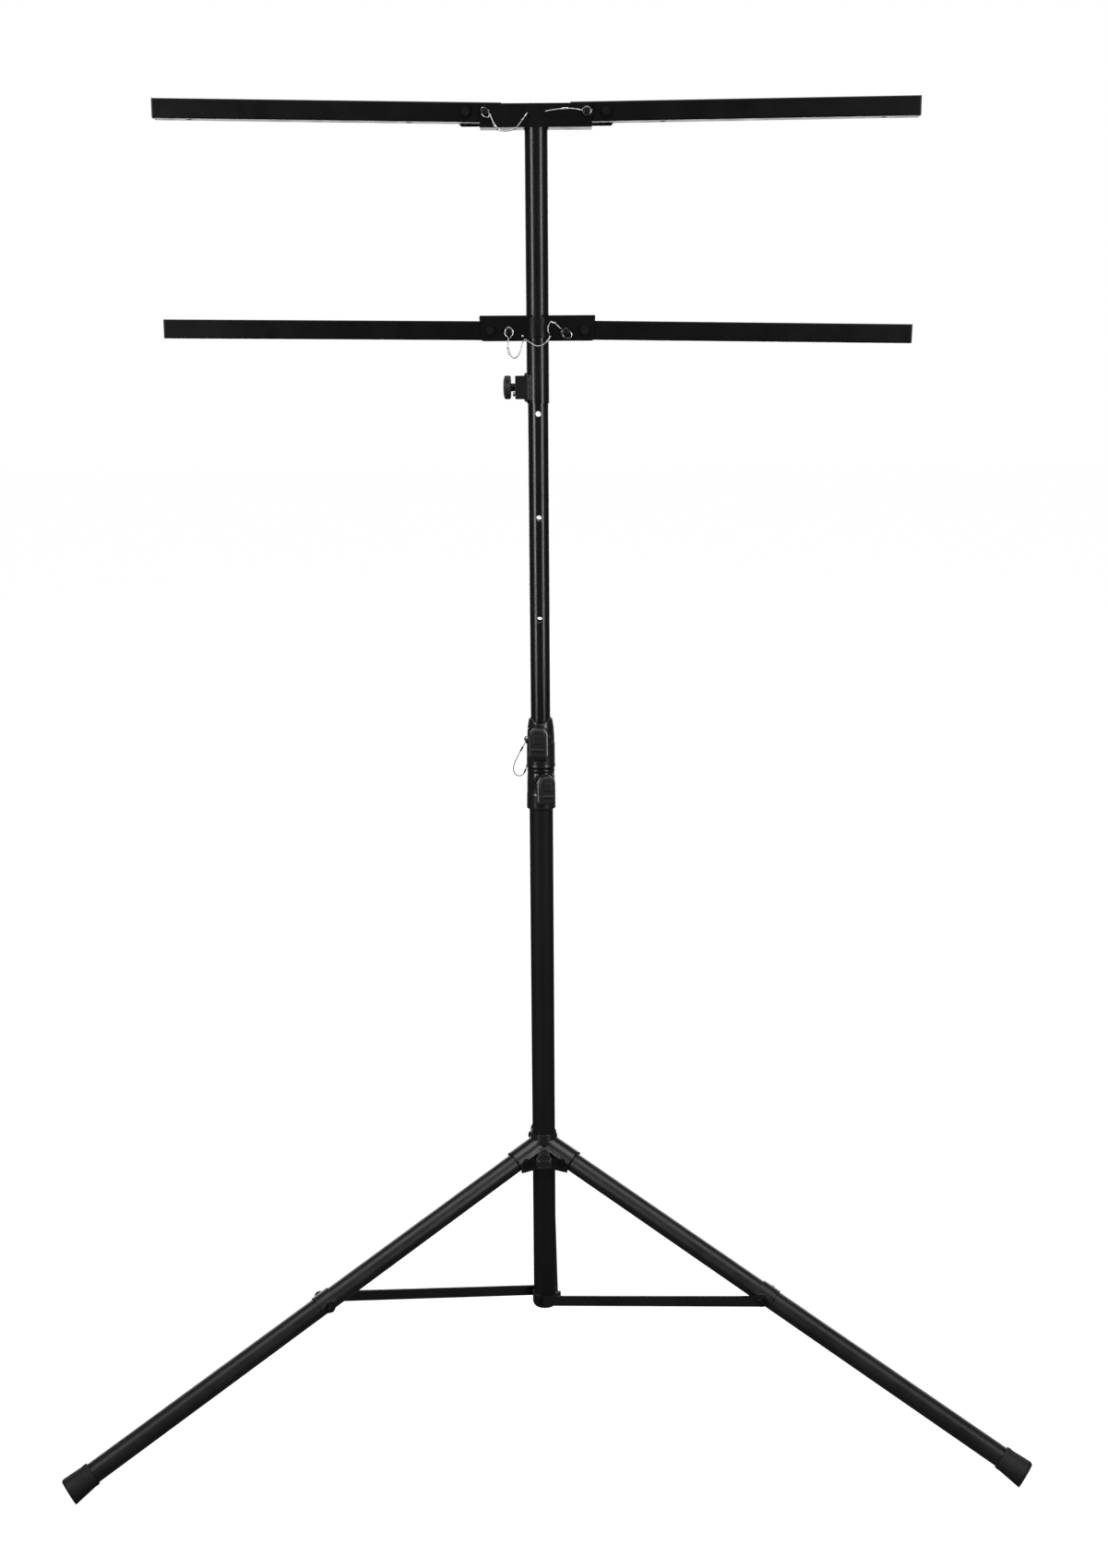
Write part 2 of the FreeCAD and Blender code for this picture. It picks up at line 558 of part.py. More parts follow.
def legs():
    for side, angle in leg_angles().items():
        frame = leg_frame(angle)
        cross = rod("@bolt_hole", "2*@leg_od", ("0", "-@leg_od", "0"), ALONG_Y)
        knuckle = without(joined(
            ball("@leg_od/2-0.1"),
            rod("@leg_od/2-0.1", "@knuckle_length", HERE, ALONG_X),
            rod("@leg_od/2-@leg_wall-@run_gap", "@knuckle_length+@knuckle_plug", HERE, ALONG_X)), cross)
        node(f"{side}_leg_knuckle", knuckle, frame)
        tube = without(
            round_tube("@leg_od", "@leg_wall", "@leg_length-@knuckle_length-3",
                       ("@knuckle_length", "0", "0"), ALONG_X),
            rod("@bolt_hole", "2*@leg_od", ("@clamp_place", "-@leg_od", "0"), ALONG_Y))
        node(f"{side}_leg", tube, frame)
        strap_out = "@leg_od/2+@clamp_sheet+0.02"
        strap = shared(
            rod(strap_out, "@clamp_wide", ("@clamp_place-@clamp_wide/2", "0", "0"), ALONG_X),
            block("@clamp_wide", "2*@leg_od", "@leg_od", ("@clamp_place-@clamp_wide/2", "-@leg_od", "0")))
        ears = rod("@clamp_ear", f"2*({strap_out})", ("@clamp_place", f"-({strap_out})", "0"), ALONG_Y)
        node(f"{side}_leg_clamp", without(
            joined(strap, ears),
            rod("@leg_od/2+0.02", "3*@clamp_wide", ("@clamp_place-1.5*@clamp_wide", "0", "0"), ALONG_X),
            block("3*@clamp_wide", "@leg_od+0.04", "@leg_od",
                  ("@clamp_place-1.5*@clamp_wide", "-@leg_od/2-0.02", "-@leg_od")),
            rod("@bolt_hole", "3*@leg_od", ("@clamp_place", "-1.5*@leg_od", "0"), ALONG_Y)), frame)
        boot(side, frame)


def boot(side, frame):
    """A rubber boot over the leg's end: it flares downwards and its lowest edge is cut flat."""
    start = "@leg_length-@boot_length"
    sleeve = joined(
        rod("@leg_od/2+2.6", "5", (start, "0", "0"), ALONG_X),
        taper("@leg_od/2+1.5", "@boot_radius", "@boot_length-4", (start, "0", "0"), ALONG_X),
        taper("@boot_radius", "@boot_radius-2.5", "4", ("@leg_length-4", "0", "0"), ALONG_X))
    sleeve.Placement = frame
    lean = Placement(Vector(value("leg_length") - value("boot_length"), 0, 0),
                     Rotation(Vector(0, 1, 0), value("boot_flare")))
    flare = moved(taper("@leg_od/2+1.5", "@boot_radius", "@boot_length+6", HERE, ALONG_X),
                  frame.multiply(lean))
    beyond = moved(block("60", "100", "100", ("@leg_length", "-50", "-50")), frame)
    room = moved(rod("@leg_od/2+0.02", "@leg_length-3", HERE, ALONG_X), frame)
    floor = block("2500", "2500", "100", ("-1250", "-1250", "-100"))
    node(f"{side}_boot", without(joined(sleeve, flare), beyond, room, floor))


def struts():
    for side, angle in leg_angles().items():
        frame, length = strut_frame(angle)
        body = doc.addObject("PartDesign::Body", "strut")
        flat = sketch(body, "XZ_Plane")
        outline(flat, [("0", "-@strut_width/2"), (str(round(length, 4)), "-@strut_width/2"),
                       (str(round(length, 4)), "@strut_width/2"), ("0", "@strut_width/2")])
        pad = body.newObject("PartDesign::Pad", "bar")
        pad.Profile = flat
        bind(pad, Length="@strut_thick")
        ends = [rod("@strut_width/2", "@strut_thick", (place, "0", "0"), TO_FRONT)
                for place in ("0", str(round(length, 4)))]
        holes = [rod("@strut_hole", "@strut_thick+2", (place, "1", "0"), TO_FRONT)
                 for place in ("0", str(round(length, 4)))]
        bar = without(joined(body, *ends), *holes)
        beside = Placement(Vector(0, -value("strut_offset"), 0), Rotation())
        node(f"{side}_strut", bar, frame.multiply(beside))


def bottom_bracket():
    """The cast plug in the mast's foot, with a flat for each strut."""
    plug = turned([
        ("0", "@mast_foot-@bracket_drop"), ("@bracket_radius-6", "@mast_foot-@bracket_drop"),
        ("@bracket_radius-2", "@mast_foot-@bracket_drop+2"), ("@bracket_radius", "@mast_foot-@bracket_drop+7"),
        ("@bracket_radius", "@mast_foot-0.02"), ("@outer_od/2-@tube_wall-@run_gap", "@mast_foot-0.02"),
        ("@outer_od/2-@tube_wall-@run_gap", "@mast_foot+38"), ("0", "@mast_foot+38")])
    away = []
    bolts = []
    for angle in leg_angles().values():
        outward = Placement(Vector(), Rotation(Vector(0, 0, 1), angle))
        flat_cut = block("100", "40", "80", ("-50", "-@bracket_flat-40", "@mast_foot-60"))
        hole = rod("@bolt_radius+0.02", "14", ("0", "-@bracket_flat+13", "@strut_foot"), TO_FRONT)
        away.extend([moved(flat_cut, outward), moved(hole, outward)])
        bolt = joined(
            rod("@bolt_radius", "@strut_offset+@strut_thick+@part_gap-@bracket_flat+12",
                ("0", "-@bracket_flat+12", "@strut_foot"), TO_FRONT),
            hexagon("@hex_radius", "@hex_tall",
                    ("0", "-@strut_offset-@strut_thick-@part_gap", "@strut_foot"), TO_FRONT))
        bolt.Placement = outward
        bolts.append(bolt)
    node("bottom_bracket", without(plug, *away))
    node("strut_pivot_bolts", pieces_of(*bolts))


# ---------------------------------------------------------------- sleeve, brackets and bars
def sleeve_tube():
    node("sleeve_tube", without(
        round_tube("@middle_od", "@tube_wall", "@web_under-@sleeve_foot", ("0", "0", "@sleeve_foot")),
        rod("@stud_radius+0.3", "@middle_od", ("-@middle_od", "0", "@clamp_height"), ALONG_X)))


def upper_bracket():
    """A channel, open upwards, with a longer back flange that carries the pivot bolts."""
    inside = "@bar_side/2+@bar_gap"
    outside = "@bar_side/2+@bar_gap+@sheet_thick"
    body, pad = padded("YZ_Plane", [
        (f"-({outside})", "@web_under"), (outside, "@web_under"),
        (outside, "@web_under+@upper_flange_tall"), (inside, "@web_under+@upper_flange_tall"),
        (inside, "@web_under+@web_thick"), (f"-({inside})", "@web_under+@web_thick"),
        (f"-({inside})", "@web_under+@upper_flange_tall"),
        (f"-({outside})", "@web_under+@upper_flange_tall")], "2*@upper_flange_half")
    pad.SideType = "Symmetric"
    back, back_pad = padded("XZ_Plane", [
        ("-@upper_back_half", "@web_under+@back_lift+4"), ("-@upper_back_half+4", "@web_under+@back_lift"),
        ("@upper_back_half-4", "@web_under+@back_lift"), ("@upper_back_half", "@web_under+@back_lift+4"),
        ("@upper_back_half", "@web_under+@upper_flange_tall-@corner"),
        ("@upper_back_half-@corner", "@web_under+@upper_flange_tall"),
        ("-@upper_back_half+@corner", "@web_under+@upper_flange_tall"),
        ("-@upper_back_half", "@web_under+@upper_flange_tall-@corner")], "@sheet_thick", True)
    back.Placement = Placement(
        Vector(0, value("bar_side") / 2 + value("bar_gap"), 0), Rotation())
    holes = []
    for side in ("-", ""):
        holes.append(rod("@bolt_radius+0.02", "@bar_side", (f"{side}@upper_pivot", "0", "@upper_axis"), ALONG_Y))
        holes.append(rod("@pin_hole", "@bar_side", (f"{side}@upper_pin", "-@bar_side", "@upper_axis"), ALONG_Y))
        holes.append(rod("@wire_hole", "@bar_side",
                         (f"{side}@wire_hole_out", "-@bar_side", "@wire_hole_up"), ALONG_Y))
    node("upper_bracket", without(joined(body, back), *holes))
    pivot_bolts("upper_pivot_bolts", "@upper_pivot", "@upper_axis", "@bar_side/2+@part_gap")


def pivot_bolts(label, out, height, head_at):
    """A bolt and nut through each pivot, with the head in front."""
    back = "@bar_side/2+@bar_gap+@sheet_thick"
    sets = []
    for side in ("-", ""):
        place = f"{side}{out}"
        sets.append(joined(
            rod("@bolt_radius", f"{head_at}+{back}+1.7*@hex_tall", (place, f"-({head_at})", height), ALONG_Y),
            hexagon("@hex_radius", "@hex_tall", (place, f"-({head_at})", height), TO_FRONT),
            hexagon("@hex_radius", "@hex_tall", (place, back, height), ALONG_Y)))
    node(label, pieces_of(*sets))


def lower_bracket():
    """Two pressed plates welded to the sleeve, each with a half-round saddle over the tube."""
    inside = "@bar_side/2+@bar_gap"
    for label, angle in (("lower_bracket_front", 0), ("lower_bracket_rear", 180)):
        body, pad = padded("XZ_Plane", [
            ("-@lower_half+@lower_slant", "0"), ("@lower_half-@lower_slant", "0"), ("@lower_half", "@lower_tall"),
            ("-@lower_half", "@lower_tall")], "@sheet_thick")
        rounded(body, pad, "@lower_corner", lambda edge: runs_along(edge, Vector(0, 1, 0)))
        body.Placement = Placement(
            Vector(0, -value("bar_side") / 2 - value("bar_gap"), value("lower_low")), Rotation())
        saddle = shared(
            rod("@middle_od/2+@sheet_thick+0.05", "@lower_tall-7", ("0", "0", "@lower_low+4")),
            block("@bar_side*2", "@bar_side", "@lower_tall",
                  ("-@bar_side", f"-@bar_side-({inside})", "@lower_low")))
        notch = rod("@notch_radius", "@bar_side", ("0", "0", "@lower_low-@notch_drop"), TO_FRONT)
        holes = []
        for side in ("-", ""):
            holes.append(rod("@bolt_radius+0.02", "@bar_side",
                             (f"{side}@lower_pivot", "0", "@lower_axis"), TO_FRONT))
            if angle == 0:
                holes.append(rod("@pin_hole", "@bar_side",
                                 (f"{side}@lower_pin", "0", "@lower_axis-@lower_pin_drop"), TO_FRONT))
                holes.append(rod("@wire_hole", "@bar_side", (f"{side}@eyelet_out", "0", "@eyelet_up"), TO_FRONT))
        room = rod("@middle_od/2+0.05", "@lower_tall+10", ("0", "0", "@lower_low-5"))
        node(label, without(joined(body, saddle), room, notch, *holes),
             Placement(Vector(), Rotation(Vector(0, 0, 1), angle)))
    pivot_bolts("lower_pivot_bolts", "@lower_pivot", "@lower_axis", f"({inside}+@sheet_thick)")


def crossbar_arm(label, out_sign, pivot, inner, height, rise, pin, pin_drop):
    """One arm of a crossbar, drawn with +X outwards from its pivot, and its end cap."""
    length = f"@bar_half-@cap_lip-@{inner}"
    start = f"@{inner}-@{pivot}"
    profile = doc.addObject("PartDesign::Body", "arm")
    flat = sketch(profile, "YZ_Plane")
    half = "@bar_side/2"
    outline(flat, [(f"-{half}", f"-{half}"), (half, f"-{half}"), (half, half), (f"-{half}", half)])
    outline(flat, [(f"-{half}+@bar_wall", f"-{half}+@bar_wall"), (f"{half}-@bar_wall", f"-{half}+@bar_wall"),
                   (f"{half}-@bar_wall", f"{half}-@bar_wall"), (f"-{half}+@bar_wall", f"{half}-@bar_wall")])
    pad = profile.newObject("PartDesign::Pad", "tube")
    pad.Profile = flat
    bind(pad, Length=length)
    limit = value("bar_side") / 2 - 1e-3
    rounded(profile, pad, "@bar_corner", lambda edge: runs_along(edge, Vector(1, 0, 0)) and
            abs(edge.CenterOfMass.y) > limit and abs(edge.CenterOfMass.z) > limit)
    profile.Placement = Placement(Vector(value(inner) - value(pivot), 0, 0), Rotation())
    across = ("-@bar_side", ALONG_Y, "2*@bar_side")
    tools = [rod("@bolt_hole", across[2], ("0", across[0], "0"), across[1]),
             rod("@pin_hole", across[2], (f"@{pin}-@{pivot}", across[0], pin_drop), across[1])]
    for place in ("@fixing_near", "@fixing_far"):
        tools.append(rod("@fixing_hole", "2*@bar_side", (f"{place}-@{pivot}", "0", "-@bar_side")))
    facing = Rotation() if out_sign > 0 else Rotation(Vector(0, 0, 1), 180)
    frame = Placement(Vector(out_sign * value(pivot), 0, value(height)), facing).multiply(
        Placement(Vector(), Rotation(Vector(0, 1, 0), -value(rise))))
    node(f"{label}_arm", without(profile, *tools), frame)
    tip = f"@bar_half-@cap_lip-@{pivot}"
    hollow = f"@bar_side-2*@bar_wall-2*@run_gap"
    cap = joined(
        block("@cap_lip", "@bar_side", "@bar_side", (tip, "-@bar_side/2", "-@bar_side/2")),
        block("@cap_plug", hollow, hollow, (f"{tip}-@cap_plug", f"-({hollow})/2", f"-({hollow})/2")))
    node(f"{label}_end_cap", cap, frame)


def crossbars():
    for tier, drop in (("upper", "0"), ("lower", "-@lower_pin_drop")):
        for side, sign in (("left", -1), ("right", 1)):
            crossbar_arm(f"{tier}_{side}", sign, f"{tier}_pivot", f"{tier}_inner", f"{tier}_axis",
                         f"{tier}_{side}_rise", f"{tier}_pin", drop)
            lock_pin(f"{tier}_{side}_lock_pin", sign * value(f"{tier}_pin"),
                     value(f"{tier}_axis") - (value("lower_pin_drop") if tier == "lower" else 0))


def lock_pin(label, across, height):
    """A lock pin in the front flange: its shank stops just short of the arm."""
    face = "@bar_side/2+@bar_gap+@sheet_thick+@part_gap"
    head = f"{face}+@pin_neck"
    pin = turned([
        ("0", "@bar_side/2+@part_gap"), ("@pin_radius", "@bar_side/2+@part_gap"), ("@pin_radius", head),
        ("@pin_head", head), ("@pin_head", f"{head}+0.6*@pin_head_tall"),
        ("0.6*@pin_head", f"{head}+@pin_head_tall"), ("0", f"{head}+@pin_head_tall")])
    node(label, pin, Placement(Vector(across, 0, height), Rotation(Vector(0, 0, 1), Vector(0, -1, 0))))


def sleeve_clamp():
    """The boss on the sleeve's left side and its round knob."""
    half = "@boss_tall/2"
    body = block("@boss_out", "@boss_deep", "@boss_tall",
                 ("-@boss_out", "-@boss_deep/2", f"@clamp_height-{half}"))
    lip = shared(
        rod("@middle_od/2+2", "@boss_tall+4", ("0", "0", f"@clamp_height-{half}-2")),
        block("@middle_od", "@boss_deep+6", "@boss_tall+4",
              ("-@middle_od-4", "-@boss_deep/2-3", f"@clamp_height-{half}-2")))
    screw_hole = "@stud_radius+0.1"
    node("sleeve_clamp_boss", without(
        joined(body, lip), rod("@middle_od/2+0.02", "4*@boss_tall", ("0", "0", "@clamp_height-2*@boss_tall")),
        rod(screw_hole, "2*@boss_out", ("-2*@boss_out", "0", "@clamp_height"), ALONG_X),
        rod("2.65", "9", ("-@boss_out-4", "0", f"@clamp_height-{half}+8"), ALONG_X)))
    near = "@round_knob_near"
    far = "@round_knob_near+@round_knob_thick"
    knob = turned([
        ("0", "@inner_od/2+@part_gap"), ("@stud_radius", "@inner_od/2+@part_gap"),
        ("@stud_radius", "@boss_out+@part_gap"), ("6.5", "@boss_out+@part_gap"), ("6.5", near),
        ("@round_knob-1.5", near), ("@round_knob", f"{near}+1.5"), ("@round_knob", f"{far}-4"),
        ("@round_knob-2", f"{far}-1.2"), ("@round_knob-7", far), ("0", far)])
    node("sleeve_knob", knob, Placement(
        Vector(0, 0, value("clamp_height")), Rotation(Vector(0, 0, 1), Vector(-1, 0, 0))))
    screw = joined(
        rod("2.6", "8", ("-@boss_out-4", "0", f"@clamp_height-{half}+8"), ALONG_X),
        rod("3.6", "3.5", ("-@boss_out-4", "0", f"@clamp_height-{half}+8"), ALONG_X))
    node("boss_set_screw", screw)


# ---------------------------------------------------------------- lanyards
def rounded_route(points):
    """Straight runs joined by tangent arcs, each as large as its two runs allow."""
    spots = [Vector(*point) for point in points]
    edges = []
    radii = []
    last = spots[0]
    for before, corner, after in zip(spots, spots[1:], spots[2:]):
        to_before = (before - corner).normalize()
        to_after = (after - corner).normalize()
        half_turn = (math.pi - to_before.getAngle(to_after)) / 2
        setback = 0.45 * min((before - corner).Length, (after - corner).Length)
        radius = setback / math.tan(half_turn)
        enter = corner + to_before * setback
        leave = corner + to_after * setback
        inward = (to_before + to_after).normalize()
        middle = corner + inward * (radius / math.cos(half_turn) - radius)
        edges.append(Part.LineSegment(last, enter).toShape())
        edges.append(Part.Arc(enter, middle, leave).toShape())
        radii.append(radius)
        last = leave
    edges.append(Part.LineSegment(last, spots[-1]).toShape())
    return edges, radii


def lanyard(label, points, radius):
    edges, radii = rounded_route(points)
    path = Part.Wire(edges)
    start = (Vector(*points[1]) - Vector(*points[0])).normalize()
    ring = Part.Wire(Part.makeCircle(radius, Vector(*points[0]), start))
    tube = path.makePipeShell([ring], True, False)
    wanted = math.pi * radius ** 2 * path.Length
    print(f"{label}: length {path.Length:.1f}, radii {[round(item, 1) for item in radii]},"
          f" volume {tube.Volume:.1f} of {wanted:.1f}")
    item = doc.addObject("Part::Feature", label)
    item.Shape = tube
    node(label, item, Placement())


UPPER_LEFT_ROUTE = [
    (-12, -16, 2182), (-13, -23.5, 2180.5), (-24, -25, 2166), (-38, -25, 2155), (-53, -24.5, 2159),
    (-64, -23.5, 2170), (-72.2, -19.5, 2179.5)]
UPPER_RIGHT_ROUTE = [
    (12, -16, 2182), (14, -23.5, 2182.5), (27, -25.5, 2185), (45, -25.5, 2187.5), (60, -23.5, 2187),
    (72.2, -19.5, 2184.5)]
LOWER_LEFT_ROUTE = [
    (-46.6, -19.5, 1837), (-48.8, -21.5, 1825), (-46.5, -23.5, 1811), (-37.5, -24.5, 1802),
    (-29, -24.5, 1811), (-25.5, -24.5, 1825), (-21, -24.5, 1835.5), (-13.5, -25, 1829.5),
    (-4, -26, 1823), (7, -26, 1823), (16, -25, 1830), (20, -22.5, 1836.5)]
LOWER_RIGHT_ROUTE = [
    (21, -16.5, 1837.5), (19.5, -23.5, 1840), (16.5, -25, 1850), (19.5, -25, 1860), (28.5, -24, 1860),
    (37.6, -20, 1850.6)]
SAFETY_ROUTE = [
    (-26.2, -15.1, 1162), (-33, -17.5, 1151), (-42, -17.5, 1134), (-48.5, -16.5, 1117),
    (-44.5, -15.5, 1105), (-34, -14.5, 1102), (-27, -13.5, 1110), (-24.4, -12.7, 1121)]


def lanyards():
    lanyard("upper_left_lanyard", UPPER_LEFT_ROUTE, value("wire"))
    lanyard("upper_right_lanyard", UPPER_RIGHT_ROUTE, value("wire"))
    lanyard("lower_left_lanyard", LOWER_LEFT_ROUTE, value("wire"))
    lanyard("lower_right_lanyard", LOWER_RIGHT_ROUTE, value("wire"))
    lanyard("safety_pin_lanyard", SAFETY_ROUTE, value("cord"))


# ---------------------------------------------------------------- whole stand
def check_and_write():
    """Stop on any failed object, then write one file per sub-part."""
    doc.recompute()
    for item in doc.Objects:
        if "Invalid" in item.State or "Error" in item.State:
            raise RuntimeError(f"{item.Name} ({item.Label}) failed: {item.State}")
    os.makedirs("parts", exist_ok=True)
    for item in nodes:
        shape = item.Shape
        if shape.isNull() or not shape.isValid() or not shape.Solids:
            raise RuntimeError(f"{item.Label} has no valid solid")
        shape.exportStep(f"parts/{item.Label}.step")
    print(f"{len(nodes)} sub-parts written")


mast_tubes()
mast_bushes()
collars()
wing_knobs()
safety_pin()
tripod_hub()
legs()
struts()
bottom_bracket()
sleeve_tube()
upper_bracket()
lower_bracket()
crossbars()
sleeve_clamp()
lanyards()
check_and_write()
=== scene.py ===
"""Folding tripod stand with two crossbars: the visual model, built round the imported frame.

Metres, +Z up, the mast on the Z axis.  Run as a script it makes every piece and the stage.
"""
import json
import math

import bpy
from mathutils import Matrix, Vector


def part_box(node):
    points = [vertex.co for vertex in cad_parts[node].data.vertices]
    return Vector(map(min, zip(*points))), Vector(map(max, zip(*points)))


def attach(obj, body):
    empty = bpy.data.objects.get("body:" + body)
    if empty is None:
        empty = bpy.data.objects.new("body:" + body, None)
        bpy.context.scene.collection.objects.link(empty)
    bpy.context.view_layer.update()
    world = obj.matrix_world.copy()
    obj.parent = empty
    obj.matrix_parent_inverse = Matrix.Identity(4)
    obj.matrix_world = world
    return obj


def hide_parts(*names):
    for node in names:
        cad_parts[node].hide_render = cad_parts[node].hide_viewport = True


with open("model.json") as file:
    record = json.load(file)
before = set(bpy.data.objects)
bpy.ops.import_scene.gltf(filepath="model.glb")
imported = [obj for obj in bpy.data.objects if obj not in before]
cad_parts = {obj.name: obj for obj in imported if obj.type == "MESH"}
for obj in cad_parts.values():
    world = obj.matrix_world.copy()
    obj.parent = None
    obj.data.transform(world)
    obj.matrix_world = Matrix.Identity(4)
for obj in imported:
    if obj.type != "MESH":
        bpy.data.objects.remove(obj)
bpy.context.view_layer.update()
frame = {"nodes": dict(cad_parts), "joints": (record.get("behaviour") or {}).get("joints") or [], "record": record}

bl_info = {
    "name": "Crossbar Tripod Stand",
    "version": (1, 0, 0),
    "blender": (4, 5, 0),
    "location": "View3D > Sidebar > Stand",
    "description": "Builds a folding tripod stand with two crossbars from its parts",
    "category": "Add Mesh",
}

MM = 0.001
LEGS = ("left", "right", "back")
ARMS = ("upper_left", "upper_right", "lower_left", "lower_right")


# ------------------------------------------------------------------ settings
class StandSizes(bpy.types.PropertyGroup):
    """Sizes of the details that are added to the frame."""
    leg_slope: bpy.props.FloatProperty(
        name="Leg slope", description="Angle of the legs below the horizontal",
        default=math.radians(23.4), subtype="ANGLE")
    clamp_place: bpy.props.FloatProperty(
        name="Strut clamp", description="Distance of the strut clamp from the leg's pivot",
        default=0.426, unit="LENGTH")
    casting_grid: bpy.props.FloatProperty(
        name="Casting grid", description="Cell size of the cast pieces' surface",
        default=0.0009, min=0.0005, unit="LENGTH")
    moulding_grid: bpy.props.FloatProperty(
        name="Moulding grid", description="Cell size of the knobs' and boots' surface",
        default=0.0007, min=0.0004, unit="LENGTH")
    wire: bpy.props.FloatProperty(
        name="Lanyard wire", description="Diameter of the steel lanyards", default=0.002, unit="LENGTH")
    cord: bpy.props.FloatProperty(
        name="Safety lanyard", description="Diameter of the safety pin's lanyard",
        default=0.0016, unit="LENGTH")
    washer: bpy.props.FloatProperty(
        name="Washer", description="Radius of the washers", default=0.0092, unit="LENGTH")
    weld: bpy.props.FloatProperty(
        name="Weld bead", description="Thickness of the weld beads", default=0.0022, unit="LENGTH")


class StandColours(bpy.types.PropertyGroup):
    """Colours of the stand's finishes."""
    mast_paint: bpy.props.FloatVectorProperty(
        name="Mast paint", description="Satin paint of the mast", subtype="COLOR",
        size=3, min=0, max=1, default=(0.0048, 0.0048, 0.0056))
    leg_paint: bpy.props.FloatVectorProperty(
        name="Leg powder coat", description="Textured powder coat of the legs", subtype="COLOR",
        size=3, min=0, max=1, default=(0.0070, 0.0070, 0.0070))
    bar_paint: bpy.props.FloatVectorProperty(
        name="Crossbar powder coat", description="Fine powder coat of the crossbars", subtype="COLOR",
        size=3, min=0, max=1, default=(0.0026, 0.0026, 0.0030))
    casting: bpy.props.FloatVectorProperty(
        name="Casting enamel", description="Glossy enamel of the cast pieces", subtype="COLOR",
        size=3, min=0, max=1, default=(0.0085, 0.0085, 0.0092))
    plastic: bpy.props.FloatVectorProperty(
        name="Moulded plastic", description="Knobs and end caps", subtype="COLOR",
        size=3, min=0, max=1, default=(0.0100, 0.0100, 0.0105))
    rubber: bpy.props.FloatVectorProperty(
        name="Rubber", description="Boots", subtype="COLOR",
        size=3, min=0, max=1, default=(0.0120, 0.0120, 0.0122))
    oxide: bpy.props.FloatVectorProperty(
        name="Black oxide", description="Pivot bolts, clamp bolts and lock pins", subtype="COLOR",
        size=3, min=0, max=1, default=(0.0050, 0.0050, 0.0055))
    zinc: bpy.props.FloatVectorProperty(
        name="Zinc plate", description="Bolts, pins and wires", subtype="COLOR",
        size=3, min=0, max=1, default=(0.66, 0.66, 0.68))
    floor: bpy.props.FloatVectorProperty(
        name="Floor", description="Studio floor", subtype="COLOR",
        size=3, min=0, max=1, default=(0.40, 0.40, 0.40))


def sizes():
    return bpy.context.scene.stand_sizes


def colours():
    return bpy.context.scene.stand_colours


# ------------------------------------------------------------------ finishes
def new_finish(name):
    """A material with its node tree and its principled shader."""
    finish = bpy.data.materials.new(name)
    finish.use_nodes = True
    tree = finish.node_tree
    shader = next(node for node in tree.nodes if node.type == "BSDF_PRINCIPLED")
    return finish, tree, shader


def grain(tree, scale, detail, stretch=(1.0, 1.0, 1.0)):
    """Noise on the piece's own coordinates, drawn out along an axis by stretch."""
    place = tree.nodes.new("ShaderNodeTexCoord")
    mapping = tree.nodes.new("ShaderNodeMapping")
    mapping.inputs["Scale"].default_value = stretch
    noise = tree.nodes.new("ShaderNodeTexNoise")
    noise.inputs["Scale"].default_value = scale
    noise.inputs["Detail"].default_value = detail
    noise.inputs["Roughness"].default_value = 0.55
    tree.links.new(place.outputs["Object"], mapping.inputs["Vector"])
    tree.links.new(mapping.outputs["Vector"], noise.inputs["Vector"])
    return noise.outputs["Fac"]


def spread(tree, source, low, high):
    """A value that runs from low to high as the source crosses the middle of its range."""
    node = tree.nodes.new("ShaderNodeMapRange")
    node.inputs["From Min"].default_value = 0.3
    node.inputs["From Max"].default_value = 0.7
    node.inputs["To Min"].default_value = low
    node.inputs["To Max"].default_value = high
    tree.links.new(source, node.inputs["Value"])
    return node.outputs["Result"]


def tint(tree, source, dark, light, edge_low=0.35, edge_high=0.7):
    """A colour that runs from dark to light with the source."""
    ramp = tree.nodes.new("ShaderNodeValToRGB")
    ramp.color_ramp.elements[0].position = edge_low
    ramp.color_ramp.elements[0].color = (*dark, 1)
    ramp.color_ramp.elements[1].position = edge_high
    ramp.color_ramp.elements[1].color = (*light, 1)
    tree.links.new(source, ramp.inputs["Fac"])
    return ramp.outputs["Color"]


def add_values(tree, first, second):
    node = tree.nodes.new("ShaderNodeMath")
    node.operation = "ADD"
    tree.links.new(first, node.inputs[0])
    tree.links.new(second, node.inputs[1])
    return node.outputs[0]


def raise_surface(tree, shader, source, strength, distance):
    bump = tree.nodes.new("ShaderNodeBump")
    bump.inputs["Strength"].default_value = strength
    bump.inputs["Distance"].default_value = distance
    tree.links.new(source, bump.inputs["Height"])
    tree.links.new(bump.outputs["Normal"], shader.inputs["Normal"])


def coat(name, colour, gloss, grain_scale, depth, wear=1.5, streaks=0.0, specular=0.5):
    """Black paint or powder coat: gloss is the roughness band and depth the height of its texture."""
    finish, tree, shader = new_finish(name)
    patches = grain(tree, 9, 5)
    dark = [part * 0.8 for part in colour]
    light = [part * wear for part in colour]
    tree.links.new(tint(tree, patches, dark, light), shader.inputs["Base Color"])
    roughness = spread(tree, grain(tree, 28, 4), gloss[0], gloss[1])
    if streaks:
        lines = grain(tree, 60, 3, (9, 9, 0.12))
        roughness = add_values(tree, roughness, spread(tree, lines, -streaks, streaks))
    tree.links.new(roughness, shader.inputs["Roughness"])
    shader.inputs["Specular IOR Level"].default_value = specular
    raise_surface(tree, shader, grain(tree, grain_scale, 3), 0.6, depth)
    return finish


